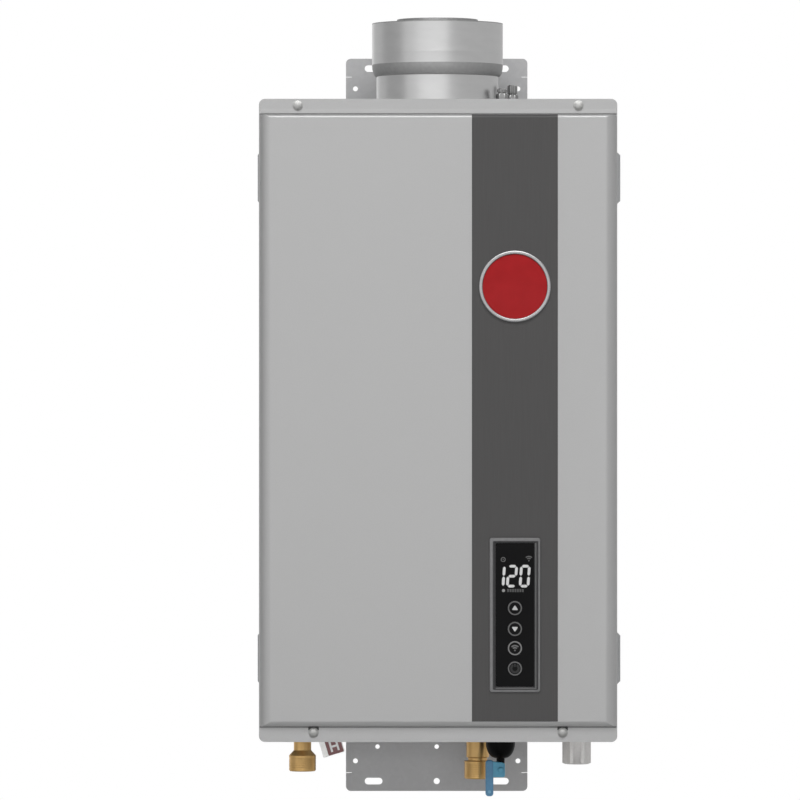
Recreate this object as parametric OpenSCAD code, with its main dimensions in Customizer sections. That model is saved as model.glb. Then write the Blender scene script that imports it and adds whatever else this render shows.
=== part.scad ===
// Wall-hung tankless gas water heater, in millimetres.
// Up is +Z, the front faces -Y and the wall is the plane y = 0.
// The origin is the centre of the four wall slots.

/* [Cabinet] */
// Width over the front cover
body_w = 350; // [340:1:400]
// Height over the front cover
body_h = 628; // [615:1:700]
// Depth from the back panel to the front face
body_d = 236; // [232:1:260]
// Gap between the wall and the back panel
wall_gap = 14; // [10:1:20]
// Sheet steel thickness of the case and the cover
sheet = 1.2; // [0.8:0.1:1.6]
// Radius of the case's two back edges
wrap_r = 4; // [2.5:0.5:8]
// Height of the open skirt below the bottom plate
skirt_h = 20; // [20:1:30]
// Width of the flange round the case's mouth
flange_w = 14; // [12:1:20]
// Height of the mouth's sill above the bottom plate
sill_h = 4; // [2:1:8]

/* [Front cover] */
// Depth of the cover from the front face to its back edge
cover_depth = 34; // [28:1:38]
// Height of the recessed screw bands at the top and bottom
band_h = 15.5; // [14.5:0.5:20]
// Depth of the screw bands behind the front face
band_recess = 8; // [5:0.5:10]
// Radius of the cover's long vertical edges
side_r = 11.5; // [11:0.5:14]
// Radius of the cover's outline corners, seen from the front
corner_r = 6; // [3:0.5:9]
// Radius of the raised panel's upper edge
panel_top_r = 3; // [2:0.5:5]
// Radius of the raised panel's lower edge
panel_low_r = 5; // [2:0.5:5]
// Clearance between the cover and the case
slip = 0.4; // [0.3:0.1:0.8]
// Thickness of the gasket under the screw bands
gasket_t = 2.6; // [2:0.2:4]
// Distance of the gasket's edges from the edges of the mouth flange
gasket_inset = 2; // [1:0.5:3]
// Sideways place of the two upper cover screws
top_screw_x = 137; // [100:1:150]
// Distance of the upper cover screws from the top
top_screw_inset = 6.6; // [6:0.2:8]
// Sideways place of the two lower cover screws
low_screw_x = 121.6; // [100:1:150]
// Distance of the lower cover screws from the bottom
low_screw_inset = 9.2; // [8:0.2:10]
// Shank radius of the cover screws
screw_r = 2; // [1.5:0.1:2.5]
// Washer radius of the cover screws
washer_r = 5; // [4:0.1:5.2]
// Washer thickness of the cover screws
washer_t = 1; // [0.6:0.1:1.5]
// Hexagon radius across corners of the cover screws
screw_hex_r = 3.9; // [3:0.1:4]
// Hexagon height of the cover screws
screw_hex_h = 2.8; // [2:0.1:3.5]
// Length of the cover screws behind the mouth flange
screw_past = 8; // [5:1:15]
// Clearance round the cover screws in the mouth flange
screw_clear = 0.3; // [0.3:0.1:0.5]

/* [Strip, badge and control panel] */
// Centre of the accent strip, the badge and the control panel
strip_x = 74.8; // [60:0.1:90]
// Width of the accent strip
strip_w = 83.8; // [75:0.1:90]
// Thickness of the accent strip
strip_t = 0.5; // [0.3:0.1:1]
// Height of the badge's centre
badge_z = 135.9; // [100:0.1:200]
// Outer radius of the badge rim
badge_r = 35.25; // [30:0.25:37]
// Width of the badge rim
badge_rim_w = 3.8; // [2.5:0.1:6]
// Height of the badge rim
badge_rim_t = 3.2; // [2.5:0.1:5]
// Bevel of the badge rim's edges
badge_bevel = 1.2; // [0.6:0.1:1.2]
// Height of the badge face at its edge
badge_face_t = 1.4; // [1:0.1:2]
// Extra height of the badge face at its centre
badge_dome = 1.2; // [0.8:0.1:2]
// Height of the control panel's centre
panel_z = -184.3; // [-200:0.1:-170]
// Width of the control panel's bezel
bezel_w = 49.4; // [47:0.1:56]
// Height of the control panel's bezel
bezel_h = 150.3; // [148:0.1:160]
// Corner radius of the bezel
bezel_r = 2.5; // [1.5:0.5:8]
// Height of the bezel above the strip
bezel_t = 2.4; // [2:0.1:4]
// Width of the glass
glass_w = 37.4; // [35:0.1:40]
// Height of the glass
glass_h = 140; // [135:0.5:142]
// Corner radius of the glass
glass_r = 1; // [0.5:0.5:4]
// Thickness of the glass
glass_t = 1.6; // [1.2:0.1:2]
// Gap all round between fitted pieces of the panel
panel_gap = 0.1; // [0.05:0.05:0.2]
// Radius of a button
button_r = 7.25; // [6:0.05:7.5]
// Height of a button above the glass
button_proud = 0.3; // [0.2:0.1:1]
// Width of the lip that holds a button behind the glass
button_lip = 0.9; // [0.5:0.1:1]
// Thickness of that lip
button_lip_t = 0.8; // [0.6:0.1:1]
// Gap round a button in the glass
button_gap = 0.25; // [0.2:0.05:0.4]
// Travel of a button
button_travel = 0.6; // [0.4:0.1:1]
// Gap left behind a pressed button
button_rest = 0.3; // [0.2:0.1:0.6]
// Height of the up button
up_z = -177.6; // [-180:0.1:-175]
// Height of the down button
down_z = -197.9; // [-200:0.1:-195.5]
// Height of the wireless button
wireless_z = -216.7; // [-219:0.1:-215]
// Height of the power button
power_z = -236.5; // [-239:0.1:-234]
// Wall of the housing behind the glass
housing_wall = 1.5; // [1.2:0.1:2]
// Depth of the housing behind the cover
housing_d = 12; // [10:1:20]
// Width of the housing's flange behind the cover
housing_lip = 5; // [3:0.5:8]
// Thickness of the circuit boards
board_t = 1.6; // [1.2:0.1:2]
// Width of the ledges that carry the circuit boards
ledge_w = 2; // [1.5:0.1:3]

/* [Wall brackets] */
// Width of a bracket
bracket_w = 184; // [170:1:200]
// Thickness of a bracket
bracket_t = 2; // [1.5:0.1:3]
// Reach of the upper bracket above the cabinet
bracket_up = 52; // [48:0.5:60]
// Reach of the lower bracket below the cabinet
bracket_down = 62.5; // [56:0.5:70]
// Corner radius of a bracket
bracket_r = 5; // [3:0.5:8]
// Height of the bend that brings a bracket to the wall
bracket_jog = 16; // [12:1:24]
// Length of a bracket's lap on the back panel
bracket_lap = 36; // [30:1:50]
// Distance of the bend from the cabinet's edge
jog_inset = 4; // [2:1:8]
// Sideways place of the wall slots
slot_x = 64; // [50:0.5:70]
// Distance of the wall slots from a bracket's edge
slot_inset = 10; // [9:0.5:12]
// Length of a wall slot
slot_l = 18; // [14:0.5:22]
// Width of a wall slot
slot_w = 6.8; // [5:0.1:8]
// Radius of the hole between the slots
nail_r = 3.1; // [2.5:0.1:4]
// Radius of the small holes near the bracket's sides
side_hole_r = 2.5; // [2:0.1:3]
// Distance of the small side holes from the bracket's side
side_hole_inset = 9.6; // [7:0.1:12]
// Distance of the small side holes from the bracket's edge
side_hole_drop = 30.5; // [27:0.5:34]
// Radius of the row of holes nearest the cabinet
row_hole_r = 2.25; // [1.5:0.05:3]
// Sideways place of the outer holes of that row
row_hole_x = 60; // [50:1:70]
// Distance of that row from the bracket's edge
row_hole_drop = 45; // [42:0.5:47]
// Depth of the small notches in the bracket's sides
notch_d = 6; // [4:0.5:8]
// Height of those notches
notch_h = 0.6; // [0.5:0.1:2]
// Distance of those notches from the bracket's edge
notch_drop = 18.6; // [17:0.1:21]
// Sideways place of the screws in a bracket's lap
lap_screw_x = 70; // [50:1:80]
// Shank radius of the fixing screws
fix_r = 2; // [1.5:0.1:2.5]
// Head radius of the fixing screws
fix_head_r = 4; // [3.2:0.1:5]
// Head height of the fixing screws
fix_head_h = 2.4; // [1.8:0.1:3]
// Length of the fixing screws behind the sheet
fix_past = 5; // [3:0.5:8]
// Clearance round the fixing screws
fix_clear = 0.2; // [0.1:0.05:0.3]

/* [Vent] */
// Distance of the vent's axis behind the front face
vent_depth = 120; // [115:1:125]
// Outer radius of the vent collar
collar_r = 65; // [64:0.1:67]
// Outer radius of the neck below the collar
neck_r = 62.3; // [58:0.1:63]
// Wall of the collar
collar_wall = 1.5; // [1:0.1:2]
// Height of the collar's lower lip above the cabinet
lip_z = 26.75; // [22:0.25:32]
// Height of the taper from the neck to the collar
taper_h = 9.5; // [8:0.5:14]
// Height of the collar's rim above the cabinet
rim_z = 79.75; // [70:0.25:90]
// Height of the bead on the collar above the cabinet
bead_z = 49.5; // [44:0.5:60]
// Radius of the collar's bead and rolled rim
bead_r = 0.8; // [0.5:0.1:1.2]
// Outer radius of the collar's base flange
vent_flange_r = 79; // [77:0.5:84]
// Thickness of the collar's base flange
vent_flange_t = 2; // [1.5:0.1:3]
// Outer radius of the flue pipe
flue_r = 40.2; // [36:0.1:44]
// Wall of the flue pipe
flue_wall = 1.5; // [1:0.1:2]
// Height of the flue pipe above the collar's rim
flue_rise = 4; // [2:0.5:10]
// Distance of the front sampling port from the vent's axis
port_reach = 71.4; // [70:0.1:73]
// Distance of the side sampling port from the vent's axis
port_far = 74.5; // [73:0.1:76]
// Angle between the two sampling ports
port_angle = 27; // [20:1:32]
// Radius of a sampling port's plug
port_r = 4.2; // [3:0.1:4.4]
// Height of the side sampling port above its flange
port_h = 18.2; // [14:0.1:20]
// Difference in height between the two sampling ports
port_step = 4.9; // [0:0.1:6]
// Hexagon radius of a sampling port's foot
port_cap_r = 5.8; // [5:0.1:6.5]
// Height of a sampling port's foot
port_cap_h = 6; // [4:0.5:8]

/* [Side pads] */
// Height of a side pad
pad_h = 59; // [40:1:70]
// Depth of a side pad
pad_d = 40; // [30:1:60]
// Reach of the right pads from the case
pad_right = 7.1; // [4:0.1:10]
// Reach of the left pads from the case
pad_left = 4.4; // [3:0.1:10]
// Height of the upper pads' centre
pad_up_z = 244.5; // [200:0.5:260]
// Height of the lower pads' centre
pad_low_z = -230; // [-250:0.5:-200]
// Gap between the cover's back edge and the pads
pad_gap = 50; // [30:1:70]
// Slope of a pad's ends, as an upright run
pad_chamfer = 7; // [1:0.5:10]

/* [Water and gas fittings] */
// Distance of the fittings behind the front face
fit_depth = 120; // [116:1:125]
// Sideways place of the hot outlet
hot_x = -134.1; // [-140:0.1:-132]
// Sideways place of the cold inlet
cold_x = 40; // [34:0.1:42]
// Sideways place of the gas inlet
gas_x = 138.3; // [134:0.1:142]
// Outer radius of the water threads
thread_r = 13.35; // [11:0.05:15]
// Bore of the water fittings
water_bore = 6.5; // [5:0.1:7]
// Radius of the fittings' necks through the bottom plate
spigot_r = 8.65; // [8.4:0.05:9.5]
// Height of the fittings' necks above the bottom plate
spigot_h = 14; // [10:1:18]
// Radius of the fittings' flanges under the bottom plate
fit_flange_r = 17; // [15:0.5:19]
// Thickness of the fittings' flanges
fit_flange_t = 2.5; // [2:0.1:3]
// Clearance round the fittings' necks in the bottom plate
fit_clear = 0.3; // [0.2:0.1:0.5]
// Reach of the hot outlet below the cabinet
hot_drop = 34.75; // [30:0.25:40]
// Length of the hot outlet's thread
hot_thread = 15.7; // [12:0.1:18]
// Height of the hot outlet's shoulder
hot_shoulder = 5; // [3:0.1:7]
// Reach of the cold inlet below the cabinet
cold_drop = 42.25; // [41:0.25:50]
// Length of the cold inlet's thread
cold_thread = 17.9; // [15:0.1:18.5]
// Radius of the cold inlet's upper body
cold_body_r = 11.3; // [10:0.1:12]
// Width of the groove above the cold inlet's thread
cold_groove = 3.2; // [2:0.1:3.5]
// Depth of that groove
cold_groove_d = 1.8; // [1:0.1:2.5]
// Bevel at the mouths of the fittings
fit_bevel = 1; // [0.5:0.1:1.5]
// Reach of the gas inlet below the cabinet
gas_drop = 27.6; // [24:0.1:32]
// Hexagon radius of the gas inlet across corners
gas_hex_r = 14.2; // [13.5:0.1:16]
// Bore of the gas inlet's socket
gas_socket_r = 9.3; // [8:0.1:10]
// Depth of the gas inlet's socket
gas_socket_d = 20; // [15:1:24]
// Bore of the gas passages
gas_bore = 6; // [5:0.1:6.5]

/* [Strainer and drain cock] */
// Sideways place of the strainer
strainer_x = 62.2; // [60:0.1:66]
// Distance of the strainer in front of the cold inlet
strainer_fore = 30; // [28:0.5:34]
// Radius of the strainer's brass head
strainer_head_r = 15.5; // [15:0.1:17]
// Height of the strainer's brass head
strainer_head_h = 14; // [12:0.5:15]
// Radius of the passage body from the inlet to the strainer
branch_r = 6; // [5:0.1:6]
// Radius of the strainer bowl
bowl_r = 14.5; // [13:0.1:15]
// Reach of the bowl's straight wall below the cabinet
bowl_drop = 10.5; // [6:0.5:12]
// Radius at the foot of the bowl's cone
bowl_foot_r = 5; // [4.5:0.1:6]
// Height of the bowl's cone
bowl_cone_h = 9.5; // [8:0.5:12]
// Radius of the bowl's drain nipple
nipple_r = 4; // [3:0.1:4.4]
// Length of the bowl's drain nipple
nipple_l = 5.5; // [4:0.5:8]
// Wall of the bowl
bowl_wall = 2; // [1.5:0.1:3]
// Radius of the drain cock's body
cock_r = 4.6; // [4.4:0.1:7]
// Height of the drain cock's body
cock_h = 11; // [10:0.1:16]
// Radius of the drain spout
spout_r = 3.6; // [3:0.1:4]
// Length of the drain spout
spout_l = 1.5; // [1:0.5:8]
// Bore of the drain way
drain_bore = 1.8; // [1.2:0.1:2]
// Reach of the drain cock's neck in front of its axis
cock_neck = 16; // [15.5:0.5:20]
// Radius of the drain cock's neck
cock_neck_r = 4.2; // [4:0.1:5.4]
// Radius of the drain spindle
spindle_r = 2.5; // [2:0.1:3.4]
// Radial clearance of the spindle in its neck
spindle_clear = 0.05; // [0.02:0.01:0.1]
// Length of the spindle inside the neck
spindle_in = 10; // [6:0.5:12]
// Gap between the lever and the neck
lever_gap = 0.3; // [0.2:0.1:0.6]
// Thickness of the lever
lever_t = 5; // [4:0.5:7]
// Reach of the lever's arm to the left of the spindle
lever_left = 15.1; // [14:0.1:18]
// Reach of the lever's plate to the right of the spindle
lever_right = 4.2; // [3.8:0.1:6]
// Half height of the lever's plate
lever_half = 7; // [6:0.1:10]
// Width of the lever's arm
lever_arm_w = 7.8; // [7:0.1:10]
// Corner radius of the lever's arm
lever_arm_r = 3; // [1:0.5:3.5]
// Reach of the lever's tip below the spindle
lever_tip = 25.8; // [22:0.1:36]
// Rise of the lever's upper edge from its plate to its arm
lever_step = 3; // [0.5:0.1:4]
// Radius of the lever screw's head
lever_screw_r = 3.2; // [2.5:0.1:4]
// Height of the lever screw's head
lever_screw_h = 1.8; // [1.2:0.1:2.5]

/* [Hot tag] */
// Width of the tag
tag_w = 22; // [18:0.5:26]
// Height of the tag
tag_h = 30; // [24:0.5:32]
// Thickness of the tag
tag_t = 0.8; // [0.5:0.1:1.5]
// Corner radius of the tag
tag_r = 1.5; // [0.5:0.5:3]
// Tilt of the tag
tag_tilt = 17; // [10:1:20]
// Distance from the hot outlet's axis to the tag's hole
tag_reach = 24; // [22:0.5:28]
// Distance of the tag's hole from the tag's top
tag_hole_inset = 4; // [3:0.5:6]
// Distance of the tie below the bottom plate
tie_drop = 13.6; // [10:0.2:15]
// Radius of the tie's cord
tie_r = 1; // [0.6:0.1:1.4]
// Radius of the tie's knot in front of the tag
tie_knot_r = 2; // [1.8:0.1:3]

/* [Heat exchanger] */
// Width of the heat exchanger
hx_w = 230; // [210:1:232]
// Depth of the heat exchanger
hx_d = 140; // [134:1:146]
// Height of the heat exchanger
hx_h = 160; // [140:1:165]
// Distance of the heat exchanger below the cabinet's top
hx_drop = 120; // [115:1:130]
// Wall of the heat exchanger and burner box
hx_wall = 1.5; // [1:0.1:2]
// Number of fins
fin_count = 20; // [12:1:24]
// Thickness of a fin
fin_t = 1; // [0.6:0.1:1.5]
// Height of the fins
fin_h = 50; // [40:1:60]
// Distance of the fins below the exchanger's top
fin_drop = 10; // [6:1:14]
// Number of exchanger tubes, an odd number
tube_count = 5; // [3:2:5]
// Distance between exchanger tubes
tube_pitch = 27; // [25:0.5:29]
// Outer radius of the exchanger tube
tube_r = 8.5; // [7:0.1:9]
// Wall of the water and gas pipes
tube_wall = 1.2; // [0.8:0.1:1.6]
// Clearance round the exchanger tube
tube_clear = 0.05; // [0.02:0.01:0.2]
// Length of the exchanger tube past the shell before a return bend
tube_past = 1.5; // [1:0.5:3]
// Height of the flue hood's box
hood_box_h = 25; // [20:1:30]
// Height of the flue hood's cone
hood_cone_h = 44; // [36:1:50]
// Radius at the foot of the flue hood's cone
hood_cone_r = 64; // [56:1:65]
// Sideways place of the straps that hold the exchanger
strap_x = 80; // [60:1:95]
// Width of a strap
strap_w = 30; // [20:1:40]
// Thickness of a strap
strap_t = 2; // [1.5:0.1:3]
// Height of a strap's feet
strap_h = 40; // [30:1:50]
// Radius of the overheat switch's flange
switch_r = 9; // [7:0.5:12]
// Thickness of the overheat switch's flange
switch_flange_t = 2; // [1:0.5:4]
// Radius of the overheat switch's cap
switch_cap_r = 6.8; // [5:0.1:6.9]
// Height of the overheat switch
switch_h = 8; // [6:0.5:12]
// Height of the overheat switch above the exchanger's foot
switch_lift = 40; // [30:1:60]

/* [Burner and fan] */
// Height of the burner box
burner_h = 75; // [70:1:80]
// Number of burner bars
bar_count = 9; // [6:1:9]
// Thickness of a burner bar
bar_w = 12; // [10:0.5:14]
// Height of a burner bar
bar_h = 40; // [34:1:44]
// Distance of the burner bars above the burner box's floor
bar_lift = 26; // [22:1:28]
// Slots in the top of a burner bar
bar_slots = 5; // [3:1:7]
// Width of a slot in a burner bar
bar_slot_w = 6; // [3:0.5:8]
// Length of a slot across a burner bar
bar_slot_l = 6; // [3:0.5:8]
// Depth of a slot in a burner bar
bar_slot_d = 4; // [2:0.5:6]
// Size of the gas manifold's square bar
manifold_s = 14; // [14:0.5:16]
// Gap between the manifold and the burner box
manifold_gap = 8; // [6:0.5:9]
// Radius of a gas nozzle
nozzle_r = 3; // [2:0.1:4]
// Distance of the nozzles above the burner box's floor
nozzle_lift = 36; // [34:1:38]
// Radius of an electrode
electrode_r = 2; // [1.5:0.1:2]
// Distance between the spark and flame electrodes
electrode_pitch = 60; // [40:1:80]
// Reach of the electrodes into the burner box
electrode_in = 30; // [20:1:50]
// Reach of the electrodes in front of the burner box
electrode_out = 6; // [4:0.5:8]
// Width of an electrode's plate
electrode_plate_w = 16; // [12:1:20]
// Height of an electrode's plate
electrode_plate_h = 8; // [6:0.5:9]
// Thickness of an electrode's plate
electrode_plate_t = 1; // [0.6:0.1:2]
// Height of the fan's outlet duct
duct_h = 20; // [16:1:22]
// Sideways place of the fan's axis
fan_x = 0; // [-10:1:4]
// Outer radius of the fan scroll
scroll_r = 60; // [54:1:62]
// Depth of the fan scroll
scroll_d = 60; // [50:1:66]
// Wall of the fan scroll
scroll_wall = 2; // [1.5:0.1:3]
// Radius of the fan's air inlet
eye_r = 32; // [26:1:34]
// Radius of the fan impeller
impeller_r = 46; // [40:1:48]
// Width of the fan impeller
impeller_w = 44; // [38:1:44]
// Number of impeller blades
blade_count = 18; // [10:1:24]
// Length of an impeller blade towards the axis
blade_l = 11; // [8:0.5:14]
// Distance of the blades from the impeller's edge
blade_inset = 1; // [0.5:0.1:2]
// Thickness of an impeller blade
blade_t = 1.5; // [1:0.1:2.5]
// Radius of the impeller's hub
hub_r = 9; // [7:0.5:11]
// Length of the impeller's hub
hub_l = 29; // [20:1:34]
// Radius of the fan shaft
shaft_r = 4; // [3:0.1:5]
// Radial clearance of the fan shaft
shaft_clear = 0.05; // [0.02:0.01:0.1]
// Radius of the fan motor
motor_r = 34; // [30:1:36]
// Length of the fan motor
motor_l = 42; // [34:1:44]
// Radius of the boss on the fan motor's end
motor_boss_r = 17; // [10:1:24]
// Length of the fan shaft inside the motor
shaft_in = 30; // [20:1:32]

/* [Gas valve] */
// Width of the gas valve
valve_w = 52; // [46:1:56]
// Depth of the gas valve
valve_d = 54; // [48:1:56]
// Height of the gas valve's block
valve_h = 60; // [56:1:64]
// Gap between the gas valve and the case's right wall
valve_gap = 7.9; // [4:0.1:12]
// Height of the gas valve's neck
valve_neck_h = 28; // [22:1:32]
// Radius of the gas valve's neck
valve_neck_r = 12; // [10.5:0.5:14]
// Radius of the solenoid coil
coil_r = 15; // [12:0.5:16]
// Length of the solenoid coil
coil_l = 30; // [24:1:34]
// Radius of the solenoid plunger
plunger_r = 5; // [4:0.1:6]
// Clearance round the plunger
plunger_clear = 0.1; // [0.05:0.01:0.1]
// Length of the plunger
plunger_l = 24; // [18:1:26]
// Travel of the plunger
plunger_travel = 4; // [3:0.5:6]
// Radius of the gas pipe
gas_pipe_r = 7; // [6.5:0.1:8]
// Bend radius of the gas pipe
gas_bend = 12; // [11:0.5:13]
// Distance of the gas pipe's axis in front of the valve's centre
gas_pipe_fore = 18; // [16:0.5:19]
// Distance of the gas pipe's axis to the left of the gas inlet
gas_pipe_left = 10; // [8:0.5:11]
// Height of the gas pipe's lower bend above the gas valve
gas_pipe_up = 50; // [40:1:60]

/* [Water path] */
// Outer radius of the water pipes
pipe_r = 8; // [7.8:0.1:8.4]
// Bend radius of the water pipes
pipe_bend = 14; // [13:0.5:15]
// Radius of the flow sensor
sensor_r = 14; // [13:0.5:16]
// Height of the flow sensor
sensor_h = 38; // [36:1:44]
// Bore of the flow sensor
sensor_bore = 10; // [9.5:0.1:11]
// Thickness of the flow sensor's bearing bridges
bridge_t = 3; // [2:0.5:4]
// Width of the flow sensor's bearing bridges
bridge_w = 5; // [4.5:0.5:6]
// Radius of the flow turbine's axle
axle_r = 1.5; // [1:0.1:1.8]
// Radial clearance of the flow turbine's axle
axle_clear = 0.05; // [0.02:0.01:0.1]
// Radius of the flow turbine
turbine_r = 9; // [7.5:0.1:9.2]
// Radius of the flow turbine's hub
turbine_hub_r = 3; // [2:0.1:4]
// Thickness of a flow turbine blade
turbine_blade_t = 1; // [0.6:0.1:1.6]
// Length of the flow turbine
turbine_l = 14; // [10:0.5:18]
// Number of flow turbine blades
turbine_blades = 6; // [3:1:8]
// Width of the flow control valve's block
flow_valve_w = 34; // [30:1:38]
// Height of the flow control valve's block
flow_valve_h = 24; // [20:1:28]
// Radius of the flow control valve's motor
flow_motor_r = 11; // [8:0.5:11]
// Length of the flow control valve's motor
flow_motor_l = 24; // [16:1:28]
// Rise of the cold pipe above the flow control valve
cold_rise = 19; // [17:0.5:22]
// Sideways place of the cold pipe beside the fan
cold_mid_x = 84; // [80:0.5:88]
// Drop of the cold pipe's crossing below the burner box
cold_cross = 34; // [30:1:38]
// Distance of the cold pipe from the right wall
cold_wall = 20; // [18:0.5:21]
// Height of the hot pipe's lower bend above the bottom plate
hot_bend_z = 88; // [70:1:110]
// Distance of the hot pipe's axis beside the heat exchanger
hot_beside = 19.1; // [18:0.1:24]
// Length of the sleeve that joins the hot pipe's two lengths
sleeve_l = 24; // [16:1:40]
// Thickness of the sleeve outside the pipe
sleeve_t = 1.2; // [0.8:0.1:2]
// Gap between the two lengths inside the sleeve
sleeve_gap = 1; // [0.5:0.1:3]

/* [Controls inside] */
// Width of the controller box
ctrl_w = 95; // [80:1:110]
// Height of the controller box
ctrl_h = 160; // [140:1:170]
// Depth of the controller box
ctrl_d = 32; // [26:1:36]
// Distance of the controller box above the bottom plate
ctrl_lift = 18; // [12:1:30]
// Distance of the controller box behind the case's mouth
ctrl_set = 6; // [4:0.5:10]
// Wall of the controller box
ctrl_wall = 2; // [1.5:0.1:3]
// Distance of the controller board from its box's floor
board_stand = 8; // [5:0.5:10]
// Distance of the board's posts from the sides of the controller box
post_inset = 6; // [5:0.5:10]
// Radius of the board's posts
post_r = 2; // [1.5:0.1:2.5]
// Width of a component on the controller board
chip_w = 13; // [8:1:18]
// Height of a component on the controller board
chip_h = 24; // [12:1:30]
// Depth of the components on the controller board
chip_d = 8; // [4:0.5:10]
// Sideways step between the components
chip_step_x = 19; // [14:1:21]
// Step in height between the components
chip_step_z = 32; // [24:1:34]
// Radius of the round component on the controller board
capacitor_r = 6; // [4:0.5:8]
// Width of the ignition module
spark_w = 30; // [24:1:32]
// Height of the ignition module
spark_h = 70; // [50:1:80]
// Depth of the ignition module
spark_d = 35; // [26:1:38]
// Hexagon radius of the power cable gland across corners
gland_r = 10; // [9:0.5:12]
// Radius of the power cable gland's neck
gland_neck_r = 7; // [6:0.1:7.2]
// Reach of the power cable gland's neck above the bottom plate
gland_in = 6; // [4:0.5:10]
// Height of the power cable gland below the bottom plate
gland_h = 13; // [10:0.5:16]
// Bore of the power cable gland
gland_bore = 4; // [3:0.1:5]
// Sideways place of the power cable gland
gland_x = -50; // [-70:1:-20]

/* [Hidden] */
$fn = 64;
// Overlap of cutting shapes past the faces that they cut
cut = 1;

// Heights and depths of the cabinet
z_bot = (bracket_down - bracket_up - body_h) / 2;
z_top = z_bot + body_h;
y_front = -(wall_gap + body_d);
y_back = -wall_gap;
y_band = y_front + band_recess;
y_cover_back = y_front + cover_depth;
y_mouth = y_front + max(band_recess + sheet + gasket_t, side_r);
y_frame = y_mouth + sheet;
y_in_back = y_back - sheet;
y_face = y_front - strip_t;
case_hw = body_w / 2 - sheet - slip;
case_in = case_hw - sheet;
case_zb = z_bot + sheet + slip;
case_zt = z_top - sheet - slip;
floor_z = z_bot + skirt_h;
floor_top = floor_z + sheet;
roof_z = case_zt - sheet;
mouth_hw = case_hw - flange_w;
mouth_zb = floor_top + sill_h;
mouth_zt = case_zt - flange_w;
panel_zb = z_bot + band_h;
panel_zt = z_top - band_h;
strip_zb = panel_zb + panel_low_r;
strip_zt = panel_zt - panel_top_r;

// Places of the vent, the fittings and the stack inside
vent_y = y_front + vent_depth;
fit_y = y_front + fit_depth;
spigot_z = floor_top + spigot_h;
hx_top = z_top - hx_drop;
hx_bot = hx_top - hx_h;
burner_bot = hx_bot - burner_h;
fan_z = burner_bot - duct_h - scroll_r;
tube_z = hx_top - fin_drop - fin_h / 2;
tube_first_y = vent_y - tube_pitch * (tube_count - 1) / 2;
tube_last_y = vent_y + tube_pitch * (tube_count - 1) / 2;
tube_end_x = hx_w / 2 + tube_past;
hood_cone_z = hx_top + hood_box_h;
flue_foot_z = hood_cone_z + hood_cone_h;
flue_top_z = z_top + rim_z + flue_rise;
hx_front = vent_y - hx_d / 2;
hx_back = vent_y + hx_d / 2;
manifold_y = hx_front - manifold_gap - manifold_s / 2;
nozzle_z = burner_bot + nozzle_lift;
bar_pitch = (hx_w - 2 * hx_wall) / bar_count;
bar_top = burner_bot + bar_lift + bar_h;
electrode_z = (bar_top + hx_bot) / 2;
manifold_l = hx_w - bar_pitch;
valve_zb = spigot_z + valve_neck_h;
valve_zt = valve_zb + valve_h;
valve_front = fit_y - valve_d / 2;
coil_z = valve_zb + valve_h / 2;
flow_valve_z = spigot_z + sensor_h;
cold_start_z = flow_valve_z + flow_valve_h;
cold_cross_z = burner_bot - cold_cross;
cold_wall_x = case_in - cold_wall;
strainer_y = fit_y - strainer_fore;
strainer_head_zt = floor_z - fit_flange_t;
strainer_head_zb = strainer_head_zt - strainer_head_h;
bowl_cone_z = z_bot - bowl_drop;
bowl_foot_z = bowl_cone_z - bowl_cone_h;
nipple_z = bowl_foot_z - nipple_l;
cock_z = nipple_z - cock_h / 2;
lever_y = strainer_y - cock_neck - lever_gap;
board_y = y_face + button_lip_t + button_travel + button_rest;

// Screw places: sideways and up for the cover, and for the laps of the wall brackets
COVER_SCREWS = [
  for (side = [-1, 1]) [side * top_screw_x, z_top - top_screw_inset],
  for (side = [-1, 1]) [side * low_screw_x, z_bot + low_screw_inset]
];
lap_mid = jog_inset + bracket_jog + bracket_lap / 2;
LAP_SCREWS = [for (x = [-lap_screw_x, lap_screw_x]) for (z = [z_top - lap_mid, z_bot + lap_mid]) [x, z]];
FLANGE_SCREW_ANGLES = [45, 135, 225, 315];
flange_screw_r = (vent_flange_r + neck_r) / 2;
NOZZLES = [for (i = [0 : bar_count - 1]) (i - (bar_count - 1) / 2) * bar_pitch];
TUBES = [for (i = [0 : tube_count - 1]) tube_first_y + i * tube_pitch];

// Shared shapes
module block(x0, x1, y0, y1, z0, z1) {
  translate([x0, y0, z0]) cube([x1 - x0, y1 - y0, z1 - z0]);
}

module rod_x(x0, x1, y, z, r) {
  translate([x0, y, z]) rotate([0, 90, 0]) cylinder(r = r, h = x1 - x0);
}

module rod_y(x, y0, y1, z, r) {
  translate([x, y0, z]) rotate([-90, 0, 0]) cylinder(r = r, h = y1 - y0);
}

module rod_z(x, y, z0, z1, r) {
  translate([x, y, z0]) cylinder(r = r, h = z1 - z0);
}

// A rectangle with round corners, centred
module round_rect(w, h, r) {
  square([w - 2 * r, h], center = true);
  square([w, h - 2 * r], center = true);
  for (x = [-1, 1])
    for (y = [-1, 1])
      translate([x * (w / 2 - r), y * (h / 2 - r)]) circle(r);
}

// A flat shape drawn as x and z, between two depths
module upright(y0, y1) {
  translate([0, y1, 0]) rotate([90, 0, 0]) linear_extrude(y1 - y0) children();
}

module ring(r, bore) {
  difference() {
    circle(r);
    circle(bore);
  }
}

function unit(v) = v / norm(v);

// A straight stretch of pipe from one point to another along an axis
module pipe_run(from, to, r, bore) {
  d = unit(to - from);
  u = abs(d.z) > 0.5 ? [1, 0, 0] : [0, 0, 1];
  v = cross(d, u);
  multmatrix([[u.x, v.x, d.x, from.x], [u.y, v.y, d.y, from.y], [u.z, v.z, d.z, from.z], [0, 0, 0, 1]])
    linear_extrude(norm(to - from)) ring(r, bore);
}

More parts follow.
